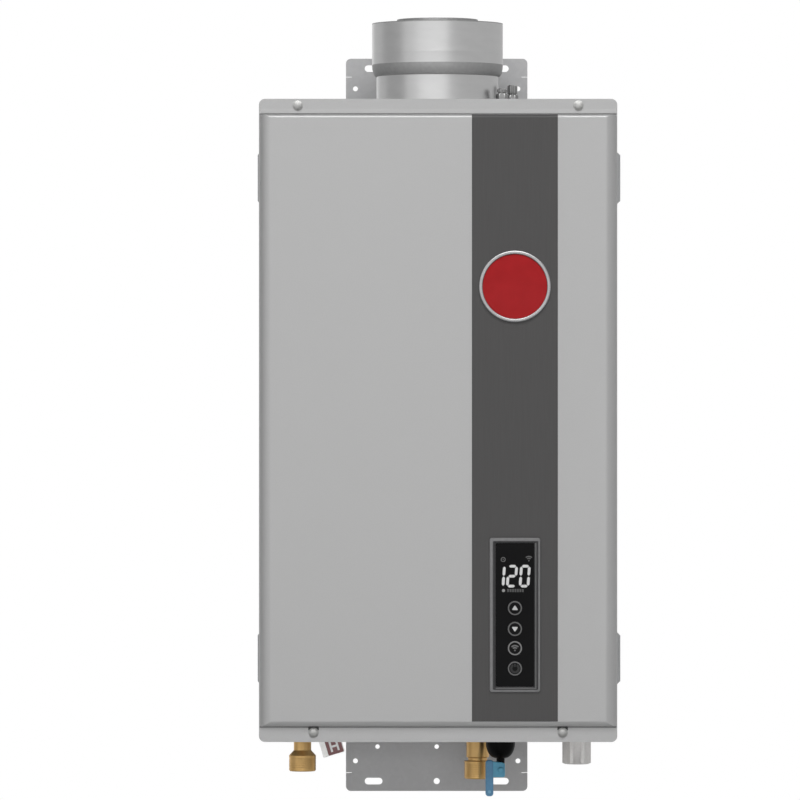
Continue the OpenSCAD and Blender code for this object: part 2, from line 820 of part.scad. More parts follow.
// A quarter bend at a corner, from one direction to another
module pipe_bend_at(corner, d, e, r, bore, bend) {
  c = corner - d * bend + e * bend;
  n = cross(d, e);
  multmatrix([[-e.x, d.x, n.x, c.x], [-e.y, d.y, n.y, c.y], [-e.z, d.z, n.z, c.z], [0, 0, 0, 1]])
    rotate_extrude(angle = 90) translate([bend, 0]) ring(r, bore);
}

// A bent pipe through points that lie square to each other
module bent_pipe(points, r, bore, bend) {
  last = len(points) - 1;
  for (i = [0 : last - 1]) {
    d = unit(points[i + 1] - points[i]);
    from = i == 0 ? points[0] : points[i] + d * bend;
    to = i == last - 1 ? points[last] : points[i + 1] - d * bend;
    pipe_run(from, to, r, bore);
  }
  for (i = [1 : last - 1])
    pipe_bend_at(points[i], unit(points[i] - points[i - 1]), unit(points[i + 1] - points[i]), r, bore, bend);
}

// The case's plan, inset from its outside
module case_plan(inset) {
  w = 2 * (case_hw - inset);
  r = wrap_r - inset;
  y_rear = y_back - inset;
  translate([-w / 2, y_frame]) square([w, y_rear - r - y_frame]);
  translate([-w / 2 + r, y_frame]) square([w - 2 * r, y_rear - y_frame]);
  for (side = [-1, 1])
    translate([side * (w / 2 - r), y_rear - r]) circle(r);
}

// The case's outline seen from the front, with corners that clear the cover
module case_outline(y0, y1) {
  translate([0, 0, (case_zb + case_zt) / 2])
    upright(y0, y1) round_rect(2 * case_hw, case_zt - case_zb, corner_r - sheet - slip);
}

module case_wrap() {
  color("gray")
    difference() {
      intersection() {
        translate([0, 0, case_zb]) linear_extrude(case_zt - case_zb) case_plan(0);
        case_outline(y_frame - cut, y_back + cut);
      }
      translate([0, 0, case_zb - cut]) linear_extrude(case_zt - case_zb + 2 * cut) {
        case_plan(sheet);
        translate([-case_in, y_frame - cut]) square([2 * case_in, 2 * cut]);
      }
      for (p = LAP_SCREWS)
        rod_y(p.x, y_in_back - cut, y_back + cut, p.y, fix_r + fix_clear);
    }
}

module top_plate() {
  color("gray")
    difference() {
      intersection() {
        translate([0, 0, roof_z]) linear_extrude(sheet) case_plan(sheet);
        case_outline(y_frame - cut, y_back + cut);
      }
      rod_z(0, vent_y, roof_z - cut, case_zt + cut, neck_r - collar_wall);
      for (a = FLANGE_SCREW_ANGLES)
        translate([0, vent_y, 0]) rotate(a)
          rod_z(flange_screw_r, 0, roof_z - cut, case_zt + cut, fix_r + fix_clear);
    }
}

module bottom_plate() {
  color("gray")
    difference() {
      translate([0, 0, floor_z]) linear_extrude(sheet) case_plan(sheet);
      for (x = [hot_x, cold_x, gas_x])
        rod_z(x, fit_y, floor_z - cut, floor_top + cut, spigot_r + fit_clear);
      rod_z(gland_x, hx_back, floor_z - cut, floor_top + cut, gland_neck_r + fit_clear);
    }
}

module mouth_frame() {
  color("gray")
    difference() {
      case_outline(y_mouth, y_frame);
      block(-mouth_hw, mouth_hw, y_mouth - cut, y_frame + cut, mouth_zb, mouth_zt);
      for (p = COVER_SCREWS)
        rod_y(p.x, y_mouth - cut, y_frame + cut, p.y, screw_r + screw_clear);
    }
}

module cover_gasket() {
  g = gasket_inset;
  gasket_y = y_band + sheet;
  color("dimgray")
    difference() {
      block(-case_hw + g, case_hw - g, gasket_y, y_mouth, case_zb + g, case_zt - g);
      block(-mouth_hw - g, mouth_hw + g, gasket_y - cut, y_mouth + cut, mouth_zb - g, mouth_zt + g);
      for (p = COVER_SCREWS)
        rod_y(p.x, gasket_y - cut, y_mouth + cut, p.y, screw_r + 2 * screw_clear);
    }
}

// The cover's plan, inset from its outside
module cover_plan(inset, y_rear) {
  hw = body_w / 2 - inset;
  r = side_r - inset;
  yf = y_front + inset;
  translate([-hw, yf + r]) square([2 * hw, y_rear - yf - r]);
  translate([-hw + r, yf]) square([2 * (hw - r), y_rear - yf]);
  for (side = [-1, 1])
    translate([side * (hw - r), yf + r]) circle(r);
}

// The cover's side profile, drawn as depth and height, inset from its outside
module cover_profile(inset, y_rear) {
  yf = y_front + inset;
  yb = y_band + inset;
  zb = panel_zb + inset;
  zt = panel_zt - inset;
  rt = panel_top_r - inset;
  rl = panel_low_r - inset;
  translate([yb, z_bot + inset]) square([y_rear - yb, body_h - 2 * inset]);
  translate([yf, zb + rl]) square([y_rear - yf, zt - rt - zb - rl]);
  translate([yf + rl, zb]) square([y_rear - yf - rl, zt - zb]);
  translate([yf + rt, zb + rl]) square([y_rear - yf - rt, zt - zb - rl]);
  translate([yf + rl, zb + rl]) circle(rl);
  translate([yf + rt, zt - rt]) circle(rt);
}

// The cover as a full block, inset from its outside
module cover_form(inset, y_rear) {
  intersection() {
    translate([0, 0, z_bot + inset]) linear_extrude(body_h - 2 * inset) cover_plan(inset, y_rear);
    translate([-body_w / 2, 0, 0]) rotate([90, 0, 90]) linear_extrude(body_w) cover_profile(inset, y_rear);
    translate([0, 0, (z_bot + z_top) / 2])
      upright(y_front - cut, y_rear + cut)
        round_rect(body_w - 2 * inset, body_h - 2 * inset, corner_r - inset);
  }
}

module front_cover() {
  color("silver")
    difference() {
      cover_form(0, y_cover_back);
      cover_form(sheet, y_cover_back + cut);
      translate([strip_x, 0, panel_z]) upright(y_front - cut, y_front + sheet + cut) window_plate(0);
      for (p = COVER_SCREWS)
        rod_y(p.x, y_band - cut, y_band + sheet + cut, p.y, screw_r + screw_clear);
    }
}

module cover_screws() {
  color("silver")
    for (p = COVER_SCREWS) {
      rod_y(p.x, y_band, y_frame + screw_past, p.y, screw_r);
      rod_y(p.x, y_band - washer_t, y_band, p.y, washer_r);
      translate([p.x, y_band - washer_t - screw_hex_h, p.y])
        rotate([-90, 0, 0]) cylinder(r = screw_hex_r, h = screw_hex_h, $fn = 6);
    }
}

module accent_strip() {
  color("dimgray")
    difference() {
      block(strip_x - strip_w / 2, strip_x + strip_w / 2, y_face, y_front, strip_zb, strip_zt);
      translate([strip_x, 0, panel_z]) upright(y_face - cut, y_front + cut) window_plate(0);
    }
}

module badge_rim() {
  inner = badge_r - badge_rim_w;
  edge = badge_rim_t - badge_bevel;
  color("silver")
    translate([strip_x, y_face, badge_z])
      rotate([90, 0, 0])
        rotate_extrude()
          polygon([
            [inner, 0], [badge_r, 0], [badge_r, edge], [badge_r - badge_bevel, badge_rim_t],
            [inner + badge_bevel, badge_rim_t], [inner, edge]
          ]);
}

module badge_face() {
  r = badge_r - badge_rim_w - panel_gap;
  steps = 8;
  dome = [for (i = [0 : steps]) let (k = 1 - i / steps) [r * k, badge_face_t + badge_dome * (1 - k * k)]];
  color("firebrick")
    translate([strip_x, y_face, badge_z])
      rotate([90, 0, 0])
        rotate_extrude()
          polygon(concat([[0, 0], [r, 0]], dome));
}

module panel_bezel() {
  color("dimgray")
    translate([strip_x, 0, panel_z])
      upright(y_face - bezel_t, y_face)
        difference() {
          round_rect(bezel_w, bezel_h, bezel_r);
          window_plate(0);
        }
}

// The shape of what sits in the panel's window, inset from the window's edge
module window_plate(inset) {
  round_rect(glass_w - 2 * inset, glass_h - 2 * inset, glass_r - inset);
}

module panel_glass() {
  color("black")
    difference() {
      translate([strip_x, 0, panel_z]) upright(y_face - glass_t, y_face) window_plate(panel_gap);
      for (z = [up_z, down_z, wireless_z, power_z])
        rod_y(strip_x, y_face - glass_t - cut, y_face + cut, z, button_r + button_gap);
    }
}

// Inset of the display board from the edge of the panel's window
board_inset = panel_gap + housing_wall;

module panel_housing() {
  y_floor = y_front + sheet + housing_d;
  ledge_inset = board_inset + ledge_w;
  color("darkslategray")
    translate([strip_x, 0, panel_z])
      difference() {
        union() {
          upright(y_face, y_floor) window_plate(panel_gap);
          upright(y_front + sheet, y_front + sheet + housing_wall) window_plate(-housing_lip);
        }
        upright(y_face - cut, board_y + board_t)
          square([glass_w - 2 * board_inset, glass_h - 2 * board_inset], center = true);
        upright(y_face - cut, y_floor - housing_wall)
          square([glass_w - 2 * ledge_inset, glass_h - 2 * ledge_inset], center = true);
      }
}

module display_board() {
  w = glass_w - 2 * (board_inset + panel_gap);
  h = glass_h - 2 * (board_inset + panel_gap);
  color("darkgreen")
    block(strip_x - w / 2, strip_x + w / 2, board_y, board_y + board_t, panel_z - h / 2, panel_z + h / 2);
}

module button(z) {
  rod_y(strip_x, y_face - glass_t - button_proud, y_face, z, button_r);
  rod_y(strip_x, y_face, y_face + button_lip_t, z, button_r + button_lip);
}

module up_button() {
  color("black") button(up_z);
}

module down_button() {
  color("black") button(down_z);
}

module wireless_button() {
  color("black") button(wireless_z);
}

module power_button() {
  color("black") button(power_z);
}

// A bracket whose wall flange rises by reach above z = 0, the cabinet's edge
module wall_bracket(reach) {
  foot = -jog_inset - bracket_jog - bracket_lap;
  t = bracket_t;
  difference() {
    intersection() {
      translate([-bracket_w / 2, 0, 0])
        rotate([90, 0, 90])
          linear_extrude(bracket_w)
            polygon([
              [0, reach], [-t, reach], [-t, -jog_inset], [y_back, -jog_inset - bracket_jog], [y_back, foot],
              [y_back + t, foot], [y_back + t, -jog_inset - bracket_jog], [0, -jog_inset]
            ]);
      translate([0, 0, (reach + foot) / 2])
        upright(y_back - cut, cut) round_rect(bracket_w, reach - foot, bracket_r);
    }
    upright(-t - cut, cut) bracket_holes(reach);
    for (x = [-lap_screw_x, lap_screw_x])
      rod_y(x, y_back - cut, y_back + t + cut, -lap_mid, fix_r + fix_clear);
  }
}

// Slots, holes and notches of a bracket's wall flange
module bracket_holes(reach) {
  straight = (slot_l - slot_w) / 2;
  for (x = [-slot_x, slot_x])
    translate([x, reach - slot_inset]) {
      square([2 * straight, slot_w], center = true);
      for (end = [-straight, straight])
        translate([end, 0]) circle(slot_w / 2);
    }
  translate([0, reach - slot_inset]) circle(nail_r);
  for (side = [-1, 1]) {
    translate([side * (bracket_w / 2 - side_hole_inset), reach - side_hole_drop]) circle(side_hole_r);
    translate([side * bracket_w / 2, reach - notch_drop]) square([2 * notch_d, notch_h], center = true);
  }
  for (x = [-row_hole_x, 0, row_hole_x])
    translate([x, reach - row_hole_drop]) circle(row_hole_r);
}

module upper_bracket() {
  color("darkgray") translate([0, 0, z_top]) wall_bracket(bracket_up);
}

module lower_bracket() {
  color("darkgray") translate([0, 0, z_bot]) mirror([0, 0, 1]) wall_bracket(bracket_down);
}

module fixing_screws() {
  color("silver") {
    for (p = LAP_SCREWS) {
      rod_y(p.x, y_in_back - fix_past, y_back + bracket_t, p.y, fix_r);
      rod_y(p.x, y_back + bracket_t, y_back + bracket_t + fix_head_h, p.y, fix_head_r);
    }
    flange_top = case_zt + vent_flange_t;
    for (a = FLANGE_SCREW_ANGLES)
      translate([0, vent_y, 0]) rotate(a) {
        rod_z(flange_screw_r, 0, roof_z - fix_past, flange_top, fix_r);
        rod_z(flange_screw_r, 0, flange_top, flange_top + fix_head_h, fix_head_r);
      }
  }
}

module vent_collar() {
  w = collar_wall;
  lip = z_top + lip_z;
  shoulder = lip + taper_h;
  rim = z_top + rim_z;
  color("silver")
    difference() {
      translate([0, vent_y, 0])
        rotate_extrude() {
          polygon([
            [neck_r - w, case_zt], [vent_flange_r, case_zt], [vent_flange_r, case_zt + vent_flange_t],
            [neck_r, case_zt + vent_flange_t], [neck_r, lip], [collar_r, shoulder], [collar_r, rim],
            [collar_r - w, rim], [collar_r - w, shoulder], [neck_r - w, lip]
          ]);
          translate([collar_r, z_top + bead_z]) circle(bead_r);
        }
      for (a = FLANGE_SCREW_ANGLES)
        translate([0, vent_y, 0]) rotate(a)
          rod_z(flange_screw_r, 0, case_zt - cut, case_zt + vent_flange_t + cut, fix_r + fix_clear);
    }
}

module flue_pipe() {
  color("silver")
    difference() {
      rod_z(0, vent_y, flue_foot_z, flue_top_z, flue_r);
      rod_z(0, vent_y, flue_foot_z - cut, flue_top_z + cut, flue_r - flue_wall);
    }
}

// One capped port on the collar's flange
module sampling_port(angle, reach, h) {
  foot = case_zt + vent_flange_t;
  translate([0, vent_y, 0]) rotate(angle) {
    translate([reach, 0, foot]) cylinder(r = port_cap_r, h = port_cap_h, $fn = 6);
    rod_z(reach, 0, foot, foot + h, port_r);
  }
}

module sampling_ports() {
  color("silver") {
    sampling_port(0, port_far, port_h);
    sampling_port(-port_angle, port_reach, port_h - port_step);
  }
}

// A pad with sloped ends against the case's side, reaching out along +X
module side_pad(reach) {
  face = pad_h / 2 - pad_chamfer;
  upright(0, pad_d)
    polygon([[0, -pad_h / 2], [reach, -face], [reach, face], [0, pad_h / 2]]);
}

module side_pads() {
  color("gray")
    for (z = [pad_up_z, pad_low_z]) {
      translate([case_hw, y_cover_back + pad_gap, z]) side_pad(pad_right);
      translate([-case_hw, y_cover_back + pad_gap, z]) mirror([1, 0, 0]) side_pad(pad_left);
    }
}

module hot_outlet() {
  mouth = z_bot - hot_drop;
  thread_top = mouth + hot_thread;
  shoulder = thread_top + hot_shoulder;
  seat = floor_z - fit_flange_t;
  color("peru")
    translate([hot_x, fit_y, 0])
      rotate_extrude()
        polygon([
          [water_bore, mouth], [thread_r - fit_bevel, mouth], [thread_r, mouth + fit_bevel],
          [thread_r, thread_top], [spigot_r, shoulder], [spigot_r, seat], [fit_flange_r, seat],
          [fit_flange_r, floor_z], [spigot_r, floor_z], [spigot_r, spigot_z], [water_bore, spigot_z]
        ]);
}

tie_z = floor_z - tie_drop;
tag_hole_x = hot_x + tag_reach;
tag_y = fit_y - tie_r;

module hot_tag() {
  color("white")
    difference() {
      translate([tag_hole_x, 0, tie_z])
        rotate([0, -tag_tilt, 0])
          translate([0, 0, tag_hole_inset - tag_h / 2])
            upright(tag_y - tag_t, tag_y) round_rect(tag_w, tag_h, tag_r);
      rod_y(tag_hole_x, tag_y - tag_t - cut, tag_y + cut, tie_z, tie_r + fit_clear);
    }
}

module tag_tie() {
  loop_r = spigot_r + fit_clear + tie_r;
  color("white") {
    translate([hot_x, fit_y, tie_z]) rotate_extrude() translate([loop_r, 0]) circle(tie_r);
    rod_x(hot_x + loop_r, tag_hole_x, fit_y, tie_z, tie_r);
    rod_y(tag_hole_x, tag_y - tag_t - tie_r, fit_y, tie_z, tie_r);
    rod_y(tag_hole_x, tag_y - tag_t - 2 * tie_r, tag_y - tag_t, tie_z, tie_knot_r);
  }
}

module cold_inlet() {
  mouth = z_bot - cold_drop;
  thread_top = mouth + cold_thread;
  body_foot = thread_top + cold_groove;
  neck = cold_body_r - cold_groove_d;
  seat = floor_z - fit_flange_t;
  branch_z = (strainer_head_zb + strainer_head_zt) / 2;
  turn = atan2(-strainer_fore, strainer_x - cold_x);
  reach = norm([strainer_fore, strainer_x - cold_x]);
  color("peru")
    difference() {
      union() {
        rod_z(cold_x, fit_y, mouth + fit_bevel, thread_top, thread_r);
        translate([cold_x, fit_y, mouth]) cylinder(r1 = thread_r - fit_bevel, r2 = thread_r, h = fit_bevel);
        rod_z(cold_x, fit_y, thread_top, body_foot, neck);
        rod_z(cold_x, fit_y, body_foot, seat, cold_body_r);
        rod_z(cold_x, fit_y, seat, floor_z, fit_flange_r);
        rod_z(cold_x, fit_y, floor_z, spigot_z, spigot_r);
        rod_z(strainer_x, strainer_y, strainer_head_zb, strainer_head_zt, strainer_head_r);
        translate([cold_x, fit_y, branch_z]) rotate([0, 0, turn]) rod_x(0, reach, 0, 0, branch_r);
      }
      rod_z(cold_x, fit_y, mouth - cut, spigot_z + cut, water_bore);
    }
}

module strainer_bowl() {
  inner = bowl_r - bowl_wall;
  floor_in = bowl_cone_z + bowl_wall;
  color("black")
    translate([strainer_x, strainer_y, 0])
      rotate_extrude()
        polygon([
          [drain_bore, nipple_z], [nipple_r, nipple_z], [nipple_r, bowl_foot_z], [bowl_foot_r, bowl_foot_z],
          [bowl_r, bowl_cone_z], [bowl_r, strainer_head_zb], [inner, strainer_head_zb], [inner, floor_in],
          [drain_bore, bowl_cone_z - bowl_wall]
        ]);
}

module drain_cock() {
  foot = nipple_z - cock_h;
  neck_front = strainer_y - cock_neck;
  spindle_end = neck_front + lever_gap + spindle_in;
  color("peru")
    difference() {
      union() {
        rod_z(strainer_x, strainer_y, foot, nipple_z, cock_r);
        rod_z(strainer_x, strainer_y, foot - spout_l, foot, spout_r);
        rod_y(strainer_x, neck_front, strainer_y, cock_z, cock_neck_r);
      }
      rod_z(strainer_x, strainer_y, foot - spout_l - cut, nipple_z + cut, drain_bore);
      rod_y(strainer_x, neck_front - cut, spindle_end, cock_z, spindle_r + spindle_clear);
    }
}

module drain_spindle() {
  color("goldenrod")
    rod_y(strainer_x, lever_y - lever_t, lever_y + lever_gap + spindle_in, cock_z, spindle_r);
}

module drain_lever() {
  arm_x = -lever_left + lever_arm_w / 2;
  arm_top = lever_half + lever_step;
  color("steelblue")
    translate([strainer_x, 0, cock_z])
      upright(lever_y - lever_t, lever_y)
        difference() {
          union() {
            polygon([
              [arm_x, -lever_half], [lever_right, -lever_half], [lever_right, lever_half], [arm_x, arm_top]
            ]);
            translate([arm_x, (arm_top - lever_tip) / 2])
              round_rect(lever_arm_w, arm_top + lever_tip, lever_arm_r);
          }
          circle(spindle_r);
        }
}

module lever_screw() {
  color("silver")
    rod_y(strainer_x, lever_y - lever_t - lever_screw_h, lever_y - lever_t, cock_z, lever_screw_r);
}

module gas_inlet() {
  mouth = z_bot - gas_drop;
  color("lightgray")
    difference() {
      union() {
        translate([gas_x, fit_y, mouth]) cylinder(r = gas_hex_r, h = floor_z - mouth, $fn = 6);
        rod_z(gas_x, fit_y, floor_z, spigot_z, spigot_r);
      }
      rod_z(gas_x, fit_y, mouth - cut, mouth + gas_socket_d, gas_socket_r);
      rod_z(gas_x, fit_y, mouth - cut, spigot_z + cut, gas_bore);
    }
}

module power_gland() {
  color("black")
    difference() {
      union() {
        translate([gland_x, hx_back, floor_z - gland_h / 2]) cylinder(r = gland_r, h = gland_h / 2, $fn = 6);
        rod_z(gland_x, hx_back, floor_z - gland_h, floor_top + gland_in, gland_neck_r);
      }
      rod_z(gland_x, hx_back, floor_z - gland_h - cut, floor_top + gland_in + cut, gland_bore);
    }
}

// A box's four walls, open above and below, round the vent's axis
module stack_walls(z0, z1) {
  difference() {
    block(-hx_w / 2, hx_w / 2, hx_front, hx_back, z0, z1);
    block(-hx_w / 2 + hx_wall, hx_w / 2 - hx_wall, hx_front + hx_wall, hx_back - hx_wall, z0 - cut, z1 + cut);
  }
}

module hx_shell() {
  color("sienna")
    difference() {
      stack_walls(hx_bot, hx_top);
      for (y = TUBES)
        rod_x(-hx_w / 2 - cut, hx_w / 2 + cut, y, tube_z, tube_r + tube_clear);
    }
}

module hx_fins() {
  inner = hx_w - 2 * hx_wall;
  pitch = inner / fin_count;
  color("peru")
    for (i = [0 : fin_count - 1])
      translate([(i + 0.5) * pitch - inner / 2 - fin_t / 2, 0, 0])
        rotate([90, 0, 90])
          linear_extrude(fin_t)
            difference() {
              translate([hx_front + hx_wall, tube_z - fin_h / 2]) square([hx_d - 2 * hx_wall, fin_h]);
              for (y = TUBES)
                translate([y, tube_z]) circle(tube_r + tube_clear);
            }
}

module hx_tube() {
  bore = tube_r - tube_wall;
  color("peru") {
    for (y = TUBES)
      pipe_run([-tube_end_x, y, tube_z], [tube_end_x, y, tube_z], tube_r, bore);
    for (i = [0 : tube_count - 2]) {
      side = i % 2 == 0 ? -1 : 1;
      translate([side * tube_end_x, TUBES[i] + tube_pitch / 2, tube_z])
        rotate([0, 0, -90 * side])
          rotate_extrude(angle = 180) translate([tube_pitch / 2, 0]) ring(tube_r, bore);
    }
  }
}

module hx_straps() {
  z = hx_top - strap_h;
  color("gray")
    for (x = [-strap_x, strap_x])
      translate([x - strap_w / 2, 0, z])
        rotate([90, 0, 90])
          linear_extrude(strap_w)
            polygon([
              [hx_back, -strap_h], [hx_back + strap_t, -strap_h], [hx_back + strap_t, -strap_t],
              [y_in_back - strap_t, -strap_t], [y_in_back - strap_t, -strap_h], [y_in_back, -strap_h],
              [y_in_back, 0], [hx_back, 0]
            ]);
}

module flue_hood() {
  w = hx_wall;
  mouth = flue_r - flue_wall;
  color("silver")
    difference() {
      union() {
        block(-hx_w / 2, hx_w / 2, hx_front, hx_back, hx_top, hood_cone_z);
        translate([0, vent_y, hood_cone_z]) cylinder(r1 = hood_cone_r, r2 = flue_r + w, h = hood_cone_h);
      }
      block(-hx_w / 2 + w, hx_w / 2 - w, hx_front + w, hx_back - w, hx_top - cut, hood_cone_z - w);
      translate([0, vent_y, hood_cone_z]) cylinder(r1 = hood_cone_r - w, r2 = mouth, h = hood_cone_h);
      rod_z(0, vent_y, hood_cone_z - w - cut, hood_cone_z + cut, hood_cone_r - 2 * w);
      rod_z(0, vent_y, flue_foot_z - cut, flue_foot_z + cut, mouth);
    }
}

module overheat_switch() {
  z = hx_bot + switch_lift;
  color("black") {
    rod_y(0, hx_front - switch_flange_t, hx_front, z, switch_r);
    rod_y(0, hx_front - switch_h, hx_front - switch_flange_t, z, switch_cap_r);
  }
}

module burner_box() {
  color("silver")
    difference() {
      union() {
        stack_walls(burner_bot, hx_bot);
        block(-hx_w / 2, hx_w / 2, hx_front, hx_back, burner_bot, burner_bot + hx_wall);
      }
      block(
        fan_x + scroll_wall, fan_x + scroll_r - scroll_wall,
        vent_y - scroll_d / 2 + scroll_wall, vent_y + scroll_d / 2 - scroll_wall,
        burner_bot - cut, burner_bot + hx_wall + cut
      );
      for (x = NOZZLES)
        rod_y(x, hx_front - cut, hx_front + hx_wall + cut, nozzle_z, nozzle_r + tube_clear);
      for (x = [-electrode_pitch / 2, electrode_pitch / 2])
        rod_y(x, hx_front - cut, hx_front + hx_wall + cut, electrode_z, electrode_r + tube_clear);
    }
}

module burner_bars() {
  bar_l = hx_d - 2 * hx_wall;
  slot_pitch = bar_l / bar_slots;
  color("darkgray")
    for (x = NOZZLES)
      difference() {
        block(x - bar_w / 2, x + bar_w / 2, hx_front + hx_wall, hx_back - hx_wall, bar_top - bar_h, bar_top);
        for (i = [0 : bar_slots - 1]) {
          y = hx_front + hx_wall + (i + 0.5) * slot_pitch;
          block(
            x - bar_slot_l / 2, x + bar_slot_l / 2, y - bar_slot_w / 2, y + bar_slot_w / 2,
            bar_top - bar_slot_d, bar_top + cut
          );
        }
      }
}

module gas_manifold() {
  s = manifold_s / 2;
  color("darkgray") {
    block(-manifold_l / 2, manifold_l / 2, manifold_y - s, manifold_y + s, nozzle_z - s, nozzle_z + s);
    for (x = NOZZLES)
      rod_y(x, manifold_y + s, hx_front + hx_wall, nozzle_z, nozzle_r);
  }
}

module electrodes() {
  hw = electrode_plate_w / 2;
  hh = electrode_plate_h / 2;
  plate_y = hx_front - electrode_plate_t;
  color("ivory")
    for (x = [-electrode_pitch / 2, electrode_pitch / 2]) {
      rod_y(x, hx_front - electrode_out, hx_front + electrode_in, electrode_z, electrode_r);
      block(x - hw, x + hw, plate_y, hx_front, electrode_z - hh, electrode_z + hh);
    }
}

module fan_housing() {
  y0 = vent_y - scroll_d / 2;
  y1 = vent_y + scroll_d / 2;
  w = scroll_wall;
  color("gray")
    difference() {
      union() {
        rod_y(fan_x, y0, y1, fan_z, scroll_r);
        block(fan_x, fan_x + scroll_r, y0, y1, fan_z, burner_bot);
      }
      rod_y(fan_x, y0 + w, y1 - w, fan_z, scroll_r - w);
      block(fan_x + w, fan_x + scroll_r - w, y0 + w, y1 - w, fan_z, burner_bot + cut);
      rod_y(fan_x, y1 - w - cut, y1 + cut, fan_z, eye_r);
      rod_y(fan_x, y0 - cut, y0 + w + cut, fan_z, hub_r + w);
    }
}

module fan_impeller() {
  y0 = vent_y - impeller_w / 2;
  y1 = vent_y + impeller_w / 2;
  motor_y = vent_y - scroll_d / 2;
  color("darkgray") {
    difference() {
      rod_y(fan_x, y0, y0 + blade_t, fan_z, impeller_r);
      rod_y(fan_x, y0 - cut, y0 + blade_t + cut, fan_z, hub_r);
    }
    rod_y(fan_x, y0, y0 + hub_l, fan_z, hub_r);
    rod_y(fan_x, motor_y - shaft_in, y0, fan_z, shaft_r);
    difference() {
      rod_y(fan_x, y1 - blade_t, y1, fan_z, impeller_r);
      rod_y(fan_x, y1 - blade_t - cut, y1 + cut, fan_z, impeller_r - blade_l);
    }
    for (i = [0 : blade_count - 1])
      translate([fan_x, 0, fan_z])
        rotate([0, i * 360 / blade_count, 0])
          block(impeller_r - blade_l, impeller_r - blade_inset, y0, y1, -blade_t / 2, blade_t / 2);
  }
}

module fan_motor() {
  y1 = vent_y - scroll_d / 2;
  color("dimgray")
    difference() {
      union() {
        rod_y(fan_x, y1 - motor_l, y1, fan_z, motor_r);
        rod_y(fan_x, y1 - motor_l - scroll_wall, y1 - motor_l, fan_z, motor_boss_r);
      }
      rod_y(fan_x, y1 - shaft_in - scroll_wall, y1 + cut, fan_z, shaft_r + shaft_clear);
    }
}

valve_x1 = case_in - valve_gap;
valve_x0 = valve_x1 - valve_w;
coil_x = valve_x0 + coil_r;

module gas_valve() {
  color("lightgray")
    difference() {
      union() {
        rod_z(gas_x, fit_y, spigot_z, valve_zb, valve_neck_r);
        block(valve_x0, valve_x1, valve_front, valve_front + valve_d, valve_zb, valve_zt);
        rod_y(coil_x, valve_front - coil_l, valve_front, coil_z, coil_r);
      }
      rod_z(gas_x, fit_y, spigot_z - cut, valve_zb + cut, gas_bore);
      rod_y(coil_x, valve_front - coil_l - cut, valve_front, coil_z, plunger_r + plunger_clear);
    }
}

module gas_plunger() {
  y1 = valve_front - plunger_travel;
  color("silver")
    rod_y(coil_x, y1 - plunger_l, y1, coil_z, plunger_r);
}

module gas_pipe() {
  x = gas_x - gas_pipe_left;
  y = fit_y - gas_pipe_fore;
  bend_z = valve_zt + gas_pipe_up;
  color("darkgray")
    bent_pipe(
      [[x, y, valve_zt], [x, y, bend_z], [x, manifold_y, bend_z], [x, manifold_y, nozzle_z],
       [manifold_l / 2, manifold_y, nozzle_z]],
      gas_pipe_r, gas_bore, gas_bend
    );
}

module flow_sensor() {
  reach = sensor_bore + cut;
  hw = bridge_w / 2;
  color("black")
    difference() {
      rod_z(cold_x, fit_y, spigot_z, flow_valve_z, sensor_r);
      difference() {
        rod_z(cold_x, fit_y, spigot_z - cut, flow_valve_z + cut, sensor_bore);
        for (z = [spigot_z + bridge_t, flow_valve_z - 2 * bridge_t])
          difference() {
            block(cold_x - reach, cold_x + reach, fit_y - hw, fit_y + hw, z, z + bridge_t);
            rod_z(cold_x, fit_y, z - cut, z + bridge_t + cut, axle_r + axle_clear);
          }
      }
    }
}

module flow_turbine() {
  z_mid = (spigot_z + flow_valve_z) / 2;
  color("white") {
    rod_z(cold_x, fit_y, spigot_z + bridge_t, flow_valve_z - bridge_t, axle_r);
    rod_z(cold_x, fit_y, z_mid - turbine_l / 2, z_mid + turbine_l / 2, turbine_hub_r);
    for (i = [0 : turbine_blades - 1])
      translate([cold_x, fit_y, z_mid])
        rotate(i * 360 / turbine_blades)
          block(axle_r, turbine_r, -turbine_blade_t / 2, turbine_blade_t / 2, -turbine_l / 2, turbine_l / 2);
  }
}

module flow_valve() {
  hw = flow_valve_w / 2;
  z_mid = (flow_valve_z + cold_start_z) / 2;
  color("black")
    difference() {
      union() {
        block(cold_x - hw, cold_x + hw, fit_y - hw, fit_y + hw, flow_valve_z, cold_start_z);
        rod_y(cold_x, fit_y - hw - flow_motor_l, fit_y - hw, z_mid, flow_motor_r);
      }
      rod_z(cold_x, fit_y, flow_valve_z - cut, cold_start_z + cut, pipe_r - tube_wall);
    }
}

module cold_pipe() {
  rise_z = cold_start_z + cold_rise;
  color("peru")
    bent_pipe(
      [[cold_x, fit_y, cold_start_z], [cold_x, fit_y, rise_z], [cold_mid_x, fit_y, rise_z],
       [cold_mid_x, fit_y, cold_cross_z], [cold_wall_x, fit_y, cold_cross_z], [cold_wall_x, fit_y, tube_z],
       [cold_wall_x, tube_first_y, tube_z], [tube_end_x, tube_first_y, tube_z]],
      pipe_r, pipe_r - tube_wall, pipe_bend
    );
}

